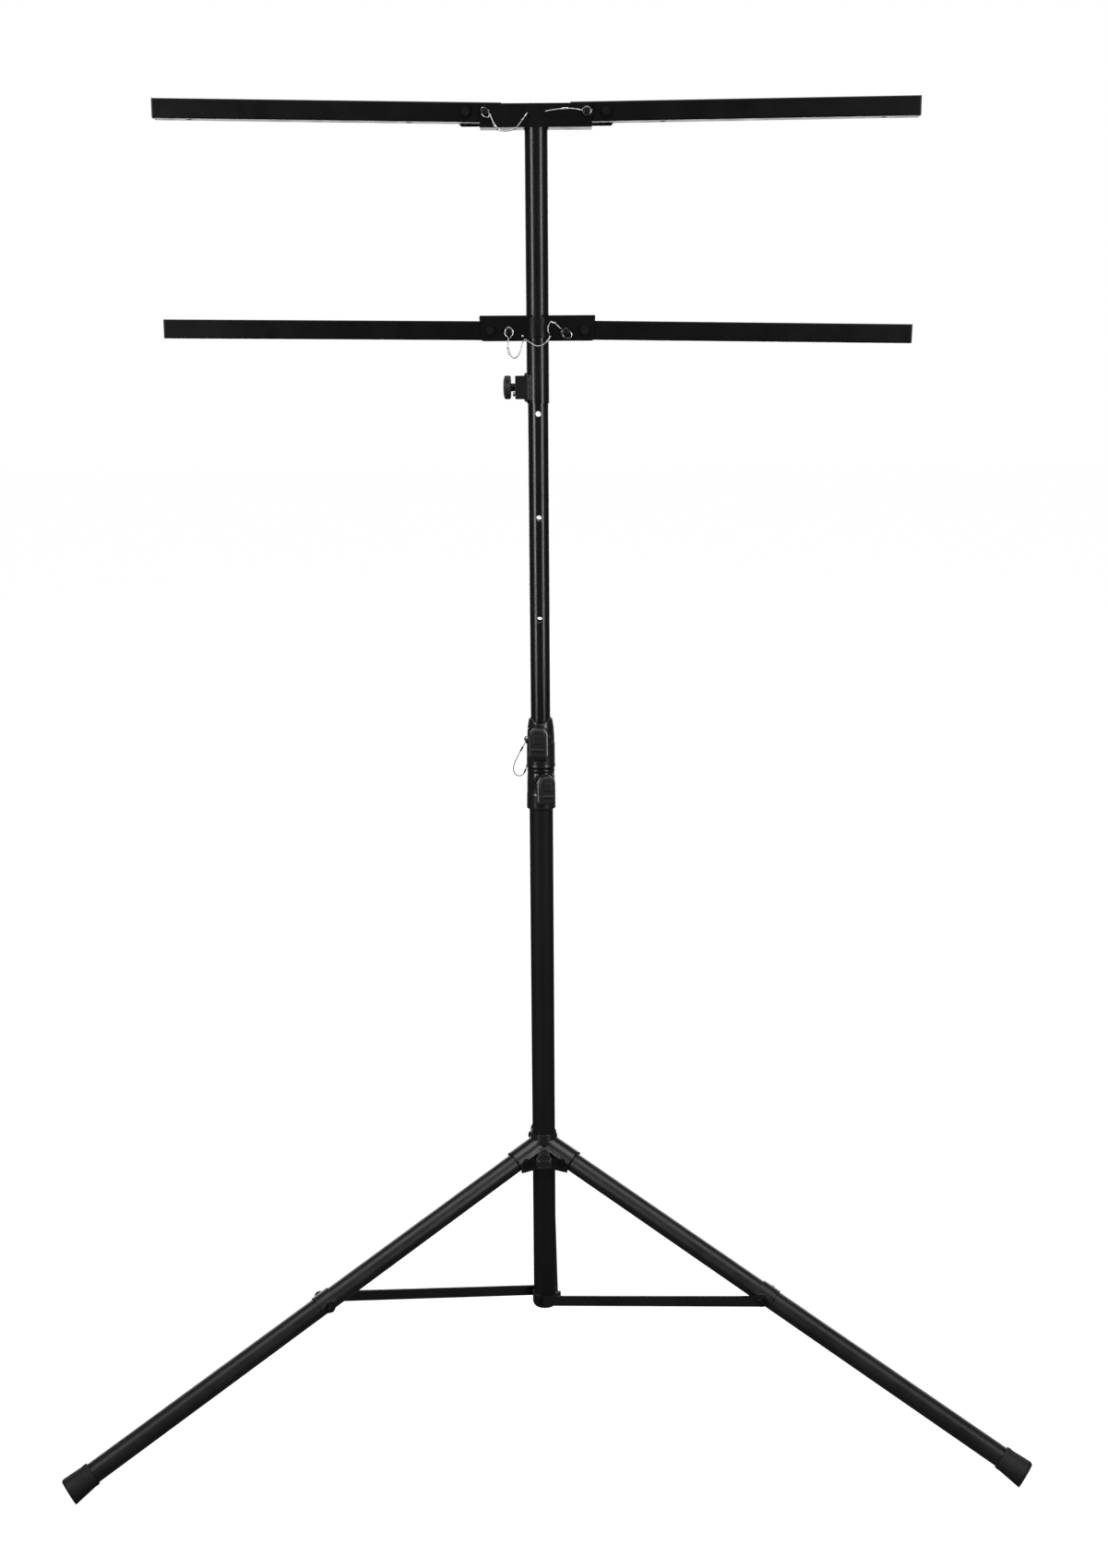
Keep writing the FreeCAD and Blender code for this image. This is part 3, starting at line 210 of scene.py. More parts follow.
def plated(name, colour, gloss):
    """Bright zinc on steel, with fine turning marks and a faint blue and yellow cast."""
    finish, tree, shader = new_finish(name)
    cast_of = grain(tree, 90, 3)
    warm = (colour[0], colour[1] * 0.99, colour[2] * 0.93)
    cool = (colour[0] * 0.9, colour[1] * 0.93, colour[2] * 0.98)
    tree.links.new(tint(tree, cast_of, cool, warm, 0.4, 0.6), shader.inputs["Base Color"])
    shader.inputs["Metallic"].default_value = 1.0
    tree.links.new(spread(tree, grain(tree, 600, 3), gloss[0], gloss[1]), shader.inputs["Roughness"])
    raise_surface(tree, shader, grain(tree, 1400, 2, (1, 6, 1)), 0.25, 0.00005)
    return finish


def make_finishes():
    """Every finish by the name of its slot; mast_matte is for the outer mast tube alone."""
    shade = colours()
    return {
        "mast_black": coat("mast satin black", shade.mast_paint, (0.20, 0.28), 900, 0.00003,
                           streaks=0.04, specular=0.5),
        "mast_matte": coat("outer mast matte black", shade.mast_paint, (0.50, 0.62), 900, 0.00004,
                           streaks=0.05, specular=0.3),
        "leg_black": coat("leg textured black", shade.leg_paint, (0.30, 0.44), 420, 0.00022, 1.8),
        "bar_black": coat("crossbar matte black", shade.bar_paint, (0.34, 0.44), 1100, 0.00006, 1.6,
                          specular=0.22),
        "cast_black": coat("casting gloss black", shade.casting, (0.20, 0.32), 300, 0.00008, 1.5,
                           specular=0.6),
        "plastic_black": coat("moulded black plastic", shade.plastic, (0.40, 0.50), 2200, 0.00004, 1.4),
        "rubber_black": coat("boot rubber", shade.rubber, (0.58, 0.74), 700, 0.0001, 1.9,
                             specular=0.35),
        "zinc_steel": plated("zinc plated steel", shade.zinc, (0.22, 0.36)),
        "cord_black": coat("black coated cord", shade.plastic, (0.45, 0.6), 3000, 0.00006, 1.5),
        "bolt_black": coat("black oxide steel", shade.oxide, (0.28, 0.38), 1500, 0.00004, 1.6,
                           specular=0.4),
    }


FINISH = {}


# ------------------------------------------------------------------ modelling helpers
def clear():
    """Back to object mode with nothing selected."""
    active = bpy.context.view_layer.objects.active
    if active is not None and active.mode != "OBJECT":
        bpy.ops.object.mode_set(mode="OBJECT")
    bpy.ops.object.select_all(action="DESELECT")


def pick(*chosen):
    """Select pieces, the first one active."""
    clear()
    for piece in chosen:
        piece.select_set(True)
    bpy.context.view_layer.objects.active = chosen[0]


def edit(piece):
    """Into edit mode with everything selected."""
    pick(piece)
    bpy.ops.object.mode_set(mode="EDIT")
    bpy.ops.mesh.select_mode(type="VERT")
    bpy.ops.mesh.select_all(action="SELECT")


def done():
    bpy.ops.object.mode_set(mode="OBJECT")


def settle(piece, place=None):
    """Carry a piece to its place and put that place into its mesh."""
    pick(piece)
    if place is not None:
        piece.matrix_world = place @ piece.matrix_world
    bpy.ops.object.transform_apply(location=True, rotation=True, scale=True)
    return piece


def apply_modifier(piece, kind, **settings):
    pick(piece)
    change = piece.modifiers.new(kind.lower(), kind)
    for key, value in settings.items():
        setattr(change, key, value)
    bpy.ops.object.modifier_apply(modifier=change.name)
    return piece


def face_out(piece):
    edit(piece)
    bpy.ops.mesh.remove_doubles(threshold=0.000002)
    bpy.ops.mesh.normals_make_consistent(inside=False)
    done()
    return piece


def turned(profile, segments=48, hollow=False, place=None):
    """A ring drawn out step by step through (radius, height); hollow profiles close on themselves."""
    clear()
    start = profile[0]
    bpy.ops.mesh.primitive_circle_add(vertices=segments, radius=start[0],
                                      fill_type="NOTHING" if hollow else "NGON")
    piece = bpy.context.object
    edit(piece)
    bpy.ops.transform.translate(value=(0, 0, start[1]))
    steps = profile[1:] + [profile[0]] if hollow else profile[1:]
    radius, height = start
    for wide, high in steps:
        bpy.ops.mesh.extrude_region_move(TRANSFORM_OT_translate={"value": (0, 0, high - height)})
        bpy.ops.transform.resize(value=(wide / radius, wide / radius, 1), center_override=(0, 0, high))
        radius, height = wide, high
    done()
    return settle(face_out(piece), place)


def in_mm(profile):
    """A profile in metres from one in millimetres."""
    return [(wide * MM, high * MM) for wide, high in profile]


def hoop(profile, segments=72, place=None):
    """A closed ring from a profile in millimetres."""
    return turned(in_mm(profile), segments, hollow=True, place=place)


def shift(across, back, up):
    """A move in millimetres."""
    return Matrix.Translation((across * MM, back * MM, up * MM))


def block(size, place=None, edge=0.001, rounds=3):
    """A block with rounded edges."""
    clear()
    bpy.ops.mesh.primitive_cube_add(size=1)
    piece = bpy.context.object
    piece.scale = size
    settle(piece)
    apply_modifier(piece, "BEVEL", width=edge, segments=rounds, limit_method="NONE")
    return settle(piece, place)


def rod(radius, length, place=None, segments=40, edge=0.0006):
    """A round bar from its local origin along +Z, with softened ends."""
    return turned([(radius - edge, 0), (radius, edge), (radius, length - edge), (radius - edge, length)],
                  segments, place=place)


def hexagon(radius, height, place=None):
    """A hexagon head with its corners turned off, from its local origin along +Z."""
    clear()
    bpy.ops.mesh.primitive_cylinder_add(vertices=6, radius=radius, depth=height)
    piece = bpy.context.object
    settle(piece, Matrix.Translation((0, 0, height / 2)))
    cutter = turned([(radius * 0.80, height + 0.0002), (radius * 1.25, height - radius * 0.24),
                     (radius * 1.25, -0.001), (radius * 0.5, -0.001)])
    carve(piece, cutter, "INTERSECT")
    apply_modifier(piece, "BEVEL", width=0.00025, segments=2, limit_method="ANGLE")
    return settle(piece, place)


def rib(points, thickness, closed=False):
    """A round rib through points, closed at both ends or, as a loop, on itself."""
    clear()
    line = bpy.data.curves.new("rib", "CURVE")
    line.dimensions = "3D"
    line.bevel_depth = thickness / 2
    line.bevel_resolution = 3
    line.use_fill_caps = True
    spline = line.splines.new("POLY")
    spline.points.add(len(points) - 1)
    for spot, point in zip(spline.points, points):
        spot.co = (*point, 1)
    spline.use_cyclic_u = closed
    piece = bpy.data.objects.new("rib", line)
    bpy.context.collection.objects.link(piece)
    pick(piece)
    bpy.ops.object.convert(target="MESH")
    return face_out(bpy.context.object)


def round_rib(radius, start, end, thickness, steps=9):
    """A rib on a round body between two (degrees to the right of the front, height) spots."""
    points = []
    for step in range(steps):
        share = step / (steps - 1)
        turn = math.radians(start[0] + (end[0] - start[0]) * share)
        points.append((radius * math.sin(turn), -radius * math.cos(turn),
                       start[1] + (end[1] - start[1]) * share))
    return rib(points, thickness)


def carve(piece, tool, operation="DIFFERENCE"):
    """Cut a tool out of a piece, or keep only what the two share."""
    apply_modifier(piece, "BOOLEAN", operation=operation, solver="EXACT", object=tool)
    bpy.data.objects.remove(tool)


def copy_of(node):
    """A free copy of a CAD piece, its loose triangles merged."""
    mesh = frame["nodes"][node].data.copy()
    piece = bpy.data.objects.new(node + "_form", mesh)
    bpy.context.collection.objects.link(piece)
    mesh.materials.clear()
    edit(piece)
    bpy.ops.mesh.remove_doubles(threshold=0.00001)
    done()
    return piece


def join(*shapes):
    pick(*shapes)
    if len(shapes) > 1:
        bpy.ops.object.join()
    return bpy.context.view_layer.objects.active


def fuse(shapes, grid, rounds):
    """Merge closed shapes into one skin and soften its edges, as a casting or a moulding has them."""
    piece = join(*shapes)
    apply_modifier(piece, "REMESH", mode="VOXEL", voxel_size=grid, adaptivity=0.0)
    apply_modifier(piece, "SMOOTH", factor=0.5, iterations=rounds)
    return piece


def finish_piece(piece, name, body, slot, stands_for=(), smooth=35):
    """Name a piece, give it its finish and let it ride on its body."""
    piece.name = name
    piece.data.name = name
    pick(piece)
    piece.data.materials.clear()
    piece.data.materials.append(FINISH[slot])
    if piece.type == "MESH":
        bpy.ops.object.shade_smooth_by_angle(angle=math.radians(smooth))
    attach(piece, body)
    if stands_for:
        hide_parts(*stands_for)
    return piece


def facing(degrees_right, height=0.0):
    """A frame on the mast's axis whose local -Y looks out, so far to the right of the front."""
    return Matrix.Translation((0, 0, height)) @ Matrix.Rotation(math.radians(degrees_right), 4, "Z")


ALONG_X = Matrix.Rotation(math.radians(90), 4, "Y")
TO_FRONT = Matrix.Rotation(math.radians(90), 4, "X")
TO_BACK = Matrix.Rotation(math.radians(-90), 4, "X")


def joint(name):
    return next(item for item in frame["joints"] if item["name"] == name)


def leg_place(side):
    """Local +X runs down the leg from its pivot, local -Y is the strut's side."""
    pivot = Vector(joint(f"{side}_leg_fold")["pos_m"])
    angle = math.atan2(pivot.y, pivot.x)
    return (Matrix.Translation(pivot) @ Matrix.Rotation(angle, 4, "Z")
            @ Matrix.Rotation(sizes().leg_slope, 4, "Y"))


def middle(node):
    low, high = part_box(node)
    return (Vector(low) + Vector(high)) / 2


# ------------------------------------------------------------------ lanyards
UPPER_LEFT_ROUTE = [
    (-12, -16, 2182), (-13, -23.5, 2180.5), (-23, -25, 2168), (-33, -25, 2154.5), (-57, -25, 2152.5),
    (-67, -23.5, 2164), (-72.2, -19.5, 2179.5)]
UPPER_RIGHT_ROUTE = [
    (12, -16, 2182), (14, -23.5, 2182.3), (27, -25.5, 2184), (45, -25.5, 2186), (60, -23.5, 2186.2),
    (72.2, -19.5, 2184.5)]
LOWER_LEFT_ROUTE = [
    (-46.6, -19.5, 1837), (-48.8, -21.5, 1825), (-46.5, -23.5, 1811), (-37.5, -24.5, 1802),
    (-29, -24.5, 1811), (-25.5, -24.5, 1825), (-21, -24.5, 1835.5), (-13.5, -25, 1829.5),
    (-4, -26, 1823), (7, -26, 1823), (16, -25, 1830), (20, -22.5, 1836.5)]
LOWER_RIGHT_ROUTE = [
    (21, -16.5, 1837.5), (19.5, -23.5, 1840), (16.5, -25, 1850), (19.5, -25, 1860), (28.5, -24, 1860),
    (37.6, -20, 1850.6)]
SAFETY_ROUTE = [
    (-26.2, -15.1, 1162), (-33, -17.5, 1151), (-42, -17.5, 1134), (-48.5, -16.5, 1117),
    (-44.5, -15.5, 1105), (-34, -14.5, 1102), (-27, -13.5, 1110), (-24.4, -12.7, 1121)]


def lay_cord(name, route, diameter):
    """A smooth cord that a route's points draw."""
    line = bpy.data.curves.new(name, "CURVE")
    line.dimensions = "3D"
    line.resolution_u = 10
    spline = line.splines.new("NURBS")
    spline.points.add(len(route) - 1)
    for spot, point in zip(spline.points, route):
        spot.co = (*(Vector(point) * MM), 1)
    spline.order_u = 3
    spline.use_endpoint_u = True
    line.bevel_depth = diameter / 2
    line.bevel_resolution = 4
    line.use_fill_caps = True
    piece = bpy.data.objects.new(name, line)
    bpy.context.collection.objects.link(piece)
    return piece


def spots_along(piece):
    """The points of a cord's own middle line."""
    bare = piece.copy()
    bare.data = piece.data.copy()
    bare.data.bevel_depth = 0
    line = bpy.data.meshes.new_from_object(bare)
    spots = [vertex.co.copy() for vertex in line.vertices]
    bpy.data.meshes.remove(line)
    bpy.data.curves.remove(bare.data)
    return spots


def look_along(spot, direction):
    """A frame at a spot whose +Z looks along a direction."""
    return Matrix.Translation(spot) @ direction.to_track_quat("Z", "Y").to_matrix().to_4x4()


def ferrule(spots, share, radius, length):
    """A crimped sleeve on a cord, at a share of its length."""
    index = max(1, min(len(spots) - 2, round(share * (len(spots) - 1))))
    direction = (spots[index + 1] - spots[index - 1]).normalized()
    half = length / 2
    waist = radius * 0.84
    sleeve = turned([(radius * 0.7, -half), (radius, -half * 0.8), (radius, -half * 0.35),
                     (waist, -half * 0.2), (waist, half * 0.2), (radius, half * 0.35),
                     (radius, half * 0.8), (radius * 0.7, half)], 24)
    return settle(sleeve, look_along(spots[index], direction))


def make_lanyard(name, route, diameter, body, slot, crimps):
    cord = lay_cord(name, route, diameter)
    cord.data.materials.append(FINISH[slot])
    spots = spots_along(cord)
    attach(cord, body)
    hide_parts(name.replace("_wire", ""))
    for number, (share, long) in enumerate(crimps, start=1):
        sleeve = ferrule(spots, share, diameter * 1.05, long)
        finish_piece(sleeve, f"{name}_ferrule_{number}", body, slot)


class STAND_OT_lanyards(bpy.types.Operator):
    """Steel lanyards of the lock pins and the black lanyard of the safety pin"""
    bl_idname = "stand.lanyards"
    bl_label = "Lanyards"

    def execute(self, context):
        wire, cord = sizes().wire, sizes().cord
        make_lanyard("upper_left_lanyard_wire", UPPER_LEFT_ROUTE, wire, "t_top", "zinc_steel",
                     ((0.74, 0.007), (0.84, 0.007)))
        make_lanyard("upper_right_lanyard_wire", UPPER_RIGHT_ROUTE, wire, "t_top", "zinc_steel",
                     ((0.66, 0.011),))
        make_lanyard("lower_left_lanyard_wire", LOWER_LEFT_ROUTE, wire, "t_top", "zinc_steel",
                     ((0.115, 0.014),))
        make_lanyard("lower_right_lanyard_wire", LOWER_RIGHT_ROUTE, wire, "t_top", "zinc_steel",
                     ((0.80, 0.009),))
        make_lanyard("safety_pin_lanyard_wire", SAFETY_ROUTE, cord, "middle", "cord_black",
                     ((0.08, 0.009), (0.92, 0.007)))
        return {"FINISHED"}


# ------------------------------------------------------------------ collars and knobs
THREAD_PITCH = 1.25 * MM
STUD_RADIUS = 4 * MM
KNOB_DEPTH = 20 * MM

# node, body, turn to the right of the front, width, height and start of the stud
WING_KNOBS = (
    ("lower_collar_knob", "lower_knob", 11, 29 * MM, 50 * MM, 19.4 * MM),
    ("upper_collar_knob", "upper_knob", -4, 31 * MM, 52 * MM, 17.8 * MM),
    ("hub_knob", "hub_screw", 1, 29 * MM, 20 * MM, 21.0 * MM),
)


class STAND_OT_collars(bpy.types.Operator):
    """The two cast clamp collars of the mast"""
    bl_idname = "stand.collars"
    bl_label = "Collars"

    def execute(self, context):
        grid = sizes().casting_grid
        upper = copy_of("upper_collar")
        carve(upper, rod(20.8 * MM, 20 * MM, shift(0, -14, 1216.6) @ TO_FRONT))
        band = hoop([(22.5, 1117.2), (25.2, 1117.2), (25.4, 1119), (25.2, 1159.5), (22.5, 1161)])
        foot = hoop([(22.5, 1117.2), (25.9, 1117.2), (25.9, 1121.5), (22.5, 1122.5)])
        ribs = [round_rib(23.6 * MM, (-66, 1183.5 * MM), (-6, 1195 * MM), 2.6 * MM),
                round_rib(23.6 * MM, (0, 1195 * MM), (42, 1175 * MM), 2.6 * MM),
                round_rib(24.2 * MM, (42, 1175 * MM), (52, 1161 * MM), 2.6 * MM),
                round_rib(23.4 * MM, (-66, 1183.5 * MM), (-74, 1161 * MM), 2.4 * MM)]
        lug = block((7 * MM, 9 * MM, 12 * MM), facing(-60, 1166 * MM) @ shift(0, -25.0, 0), 1.5 * MM)
        casting = fuse([upper, band, foot, *ribs, lug], grid, 4)
        finish_piece(casting, "upper_collar_casting", "middle", "cast_black", ["upper_collar"], 60)

        lower = copy_of("lower_collar")
        band = hoop([(22.5, 1043.6), (25.3, 1043.6), (25.7, 1046), (25.5, 1070.5), (22.5, 1072)])
        brim = hoop([(22.5, 1109.5), (24.6, 1110.5), (24.6, 1115.3), (22.5, 1115.6)])
        ribs = [round_rib(24.6 * MM, (-40, 1072 * MM), (-12, 1105 * MM), 2.8 * MM),
                round_rib(24.4 * MM, (-12, 1105 * MM), (54, 1105 * MM), 3.2 * MM),
                round_rib(24.6 * MM, (54, 1105 * MM), (78, 1072 * MM), 2.8 * MM)]
        casting = fuse([lower, band, brim, *ribs], grid, 4)
        finish_piece(casting, "lower_collar_casting", "base", "cast_black", ["lower_collar"], 60)
        return {"FINISHED"}


def thumb_knob(node, name, body, turn, wide, tall, deep, low_knob):
    """A moulded knob with a bar and a raised square on its face: domed on top, or a low block."""
    low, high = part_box(node)
    height = (low[2] + high[2]) / 2
    reach = -low[1] / math.cos(math.radians(turn))
    back = reach - deep
    half = wide / 2
    face = facing(turn, height)
    if low_knob:
        shapes = [block((wide, deep, tall), face @ Matrix.Translation((0, -back - deep / 2, 0)),
                        4.5 * MM, 4)]
    else:
        top = face @ Matrix.Translation((0, -back, tall / 2 - half))
        shapes = [rod(half, deep, top @ TO_FRONT, 56, 3 * MM),
                  block((wide, deep, tall - half),
                        face @ Matrix.Translation((0, -back - deep / 2, -half / 2)), 3.5 * MM, 4)]
    bar = block((wide * 0.66, 3 * MM, 3.6 * MM),
                face @ Matrix.Translation((0, -reach + 0.2 * MM, -tall * 0.22)), 1.2 * MM)
    dish = block((wide * 0.5, 2.4 * MM, wide * 0.5),
                 face @ Matrix.Translation((0, -reach + 0.6 * MM, tall * 0.12)), 1.1 * MM)
    neck = rod(9.5 * MM, 14 * MM, face @ Matrix.Translation((0, -back + 9 * MM, 0)) @ TO_FRONT)
    shapes += [bar, dish, neck]
    knob = fuse(shapes, sizes().moulding_grid, 5)
    finish_piece(knob, name, body, "plastic_black", [node], 60)


def screw_thread(name, body, start, length, radius, place):
    """A threaded stud: its grooves are turned along a bar."""
    pitch = THREAD_PITCH
    profile = [(radius * 0.7, start)]
    height = start + pitch
    while height < start + length - pitch:
        profile += [(radius * 0.84, height), (radius, height + pitch * 0.45), (radius, height + pitch * 0.6)]
        height += pitch
    profile.append((radius * 0.84, start + length))
    finish_piece(turned(profile, 24, place=place), name, body, "zinc_steel")


class STAND_OT_knobs(bpy.types.Operator):
    """The four clamp knobs with their threaded studs"""
    bl_idname = "stand.knobs"
    bl_label = "Knobs"

    def execute(self, context):
        for node, body, turn, wide, tall, inner in WING_KNOBS:
            thumb_knob(node, node + "_moulding", body, turn, wide, tall, KNOB_DEPTH, node == "hub_knob")
            low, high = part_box(node)
            place = facing(turn, (low[2] + high[2]) / 2) @ TO_FRONT
            screw_thread(node + "_stud", body, inner, 18 * MM, STUD_RADIUS, place)
        self.round_knob()
        return {"FINISHED"}

    def round_knob(self):
        """A round knob with a knurled rim and a domed face."""
        height = middle("sleeve_knob").z
        profile = [(6.2, 37.9), (6.5, 38.4), (6.5, 43.6), (9.5, 44.3), (16.8, 44.3), (18.2, 45.0),
                   (18.9, 46.2), (19, 47.2), (19, 48.6), (19, 50), (19, 51.4), (19, 52.8), (18.9, 53.8),
                   (18.2, 54.8), (16.6, 55.8), (13.8, 56.7), (10.5, 57.2), (9.9, 56.8), (6, 57.1),
                   (2.5, 57.2)]
        sides, rim_start, groove = 96, 18.6 * MM, 0.97
        knob = turned(in_mm(profile), sides)
        for vertex in knob.data.vertices:
            spot = Vector((vertex.co.x, vertex.co.y))
            if spot.length > rim_start:
                turn = round(math.degrees(math.atan2(spot.y, spot.x)) / (360 / sides))
                if turn % 2:
                    vertex.co.x *= groove
                    vertex.co.y *= groove
        place = Matrix.Translation((0, 0, height)) @ Matrix.Rotation(math.radians(-90), 4, "Y")
        settle(knob, place)
        finish_piece(knob, "sleeve_knob_moulding", "clamp_knob", "plastic_black", ["sleeve_knob"], 25)
        screw_thread("sleeve_knob_stud", "clamp_knob", 17.8 * MM, 21 * MM, STUD_RADIUS, place)


# ------------------------------------------------------------------ hub and foot
class STAND_OT_hub(bpy.types.Operator):
    """The cast hub that carries the legs"""
    bl_idname = "stand.hub"
    bl_label = "Hub"

    def execute(self, context):
        shapes = [copy_of("tripod_hub")]
        for side in LEGS:
            place = leg_place(side)
            for edge in (-1, 1):
                lip = [(-34, edge * 21.2, 4.4), (-14, edge * 21.6, 4.2), (2, edge * 21.6, 4.0),
                       (7.5, edge * 21.3, 4.6)]
                shapes.append(rib([place @ (Vector(point) * MM) for point in lip], 4 * MM))
        boss = middle("hub_knob").z
        arch_radius = 12.8 * MM
        arch = []
        for step in range(13):
            turn = math.radians(15 * step)
            arch.append((arch_radius * math.cos(turn), -28 * MM, boss + arch_radius * math.sin(turn)))
        shapes.append(rib(arch, 3 * MM))
        shapes.append(hexagon(12.4 * MM, 17 * MM, facing(1, boss) @ shift(0, -24.6, 0) @ TO_FRONT))
        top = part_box("tripod_hub")[1][2]
        rim = turned([(21.6 * MM, top - 3 * MM), (23.2 * MM, top - 3 * MM), (23.3 * MM, top - 1.2 * MM),
                      (22.8 * MM, top - 0.1 * MM), (21.6 * MM, top - 0.1 * MM)], 72, hollow=True)
        shapes.append(rim)
        casting = fuse(shapes, sizes().casting_grid, 3)
        finish_piece(casting, "hub_casting", "hub", "cast_black", ["tripod_hub"], 60)
        for side in LEGS:
            place = leg_place(side)
            for edge in (-1, 1):
                hand, outwards = ("left", TO_BACK) if edge > 0 else ("right", TO_FRONT)
                washer = hoop([(4.3, 0), (8.6, 0), (8.9, 0.4), (8.6, 1.0), (4.3, 1.0)], 40,
                              place @ shift(0, edge * 22.0, 0) @ outwards)
                finish_piece(washer, f"{side}_leg_pivot_washer_{hand}", "hub", "bolt_black")
        return {"FINISHED"}


class STAND_OT_foot(bpy.types.Operator):
    """The cast plug at the mast's foot"""
    bl_idname = "stand.foot"
    bl_label = "Mast foot"

    def execute(self, context):
        plug = copy_of("bottom_bracket")
        bead = hoop([(17, 104.5), (21.3, 105.2), (21.6, 107), (17, 108)], 64)
        casting = fuse([plug, bead], sizes().casting_grid, 3)
        finish_piece(casting, "foot_casting", "base", "cast_black", ["bottom_bracket"], 60)
        return {"FINISHED"}


# ------------------------------------------------------------------ legs
class STAND_OT_boots(bpy.types.Operator):
    """Rubber boots with a stepped mouth and two rings, flat where they stand"""
    bl_idname = "stand.boots"
    bl_label = "Boots"

    def execute(self, context):
        for side in LEGS:
            place = leg_place(side)
            shapes = [copy_of(f"{side}_boot")]
            for at, wide, tall in ((887.5, 19.9, 2.2), (903, 20.2, 1.8), (910, 20.6, 1.8)):
                shapes.append(hoop([(18, 0), (wide, 0.2), (wide, tall), (18, tall)], 56,
                                   place @ shift(at, 0, 0) @ ALONG_X))
            boot = fuse(shapes, sizes().moulding_grid * 1.3, 3)
            for vertex in boot.data.vertices:
                vertex.co.z = max(vertex.co.z, 0.0)
            finish_piece(boot, f"{side}_boot_rubber", f"{side}_leg_assembly", "rubber_black",
                         [f"{side}_boot"], 50)
        return {"FINISHED"}


class STAND_OT_clamps(bpy.types.Operator):
    """Strap, bolt, nut, washers and spacer of each strut clamp"""
    bl_idname = "stand.clamps"
    bl_label = "Strut clamps"

    def execute(self, context):
        for side in LEGS:
            place = leg_place(side) @ Matrix.Translation((sizes().clamp_place, 0, 0))
            body = f"{side}_leg_assembly"
            bolt = join(
                rod(3.9 * MM, 54 * MM, place @ shift(0, -26.5, 0) @ TO_BACK),
                hexagon(7.4 * MM, 5 * MM, place @ shift(0, -26.0, 0) @ TO_FRONT),
                hexagon(7.4 * MM, 5.5 * MM, place @ shift(0, 21.0, 0) @ TO_BACK))
            finish_piece(bolt, f"{side}_clamp_bolt", body, "bolt_black")
            washers = join(*[
                turned([(4.1 * MM, 0), (wide, 0), (wide, thick), (4.1 * MM, thick)], 40, hollow=True,
                       place=place @ shift(0, at, 0) @ TO_BACK)
                for at, wide, thick in ((-25.9, sizes().washer, 1.3 * MM), (19.6, sizes().washer, 1.3 * MM),
                                        (-21.2, 7.5 * MM, 1.6 * MM))])
            finish_piece(washers, f"{side}_clamp_washers", body, "bolt_black")
            strap = fuse([copy_of(f"{side}_leg_clamp")], 0.0006, 2)
            finish_piece(strap, f"{side}_clamp_strap", body, "leg_black", [f"{side}_leg_clamp"], 50)
        return {"FINISHED"}


# ------------------------------------------------------------------ sleeve and crossbars
class STAND_OT_sleeve_clamp(bpy.types.Operator):
    """The clamp boss welded to the sleeve"""
    bl_idname = "stand.sleeve_clamp"
    bl_label = "Sleeve clamp"

    def execute(self, context):
        boss = copy_of("sleeve_clamp_boss")
        low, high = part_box("sleeve_clamp_boss")
        centre, tall = (low[2] + high[2]) / 2, high[2] - low[2]
        saddle = block((5 * MM, 27 * MM, tall + 5 * MM), Matrix.Translation((-19.8 * MM, 0, centre)),
                       2 * MM)
        carve(saddle, rod(19.3 * MM, tall + 20 * MM, Matrix.Translation((0, 0, low[2] - 10 * MM))))
        casting = fuse([boss, saddle], 0.0007, 6)
        finish_piece(casting, "sleeve_clamp_casting", "t_top", "cast_black", ["sleeve_clamp_boss"], 50)
        return {"FINISHED"}


LOOP_WIRE = 1.8 * MM
LOOP_PLANE = -19.5 * MM
LOOP_TIP_OUT = 1.2 * MM

# in millimetres and degrees: offset of each loop's middle from its pin (right, up), half length,
# half width and turn of its tip
PIN_LOOPS = {
    "upper_left": ((1.4, -2.0), 8.6, 5.6, -56),
    "upper_right": ((-0.6, 0.0), 7.4, 6.2, 172),
    "lower_left": ((0.2, -1.6), 8.6, 6.3, -88),
    "lower_right": ((0.8, -3.4), 9.0, 6.4, 148),
}


def wire_loop(centre, long, wide, turn):
    """A drop-shaped loop of wire that hangs round a pin, its tip turned up from the right by turn."""
    points = []
    for step in range(36):
        angle = math.radians(10 * step)
        pinch = 1 - 0.55 * max(0.0, math.cos(angle)) ** 2
        out, across = long * math.cos(angle), wide * pinch * math.sin(angle)
        points.append((centre.x + out * math.cos(turn) - across * math.sin(turn),
                       centre.y - LOOP_TIP_OUT * max(0.0, math.cos(angle)),
                       centre.z + out * math.sin(turn) + across * math.cos(turn)))
    return rib(points, LOOP_WIRE, closed=True)


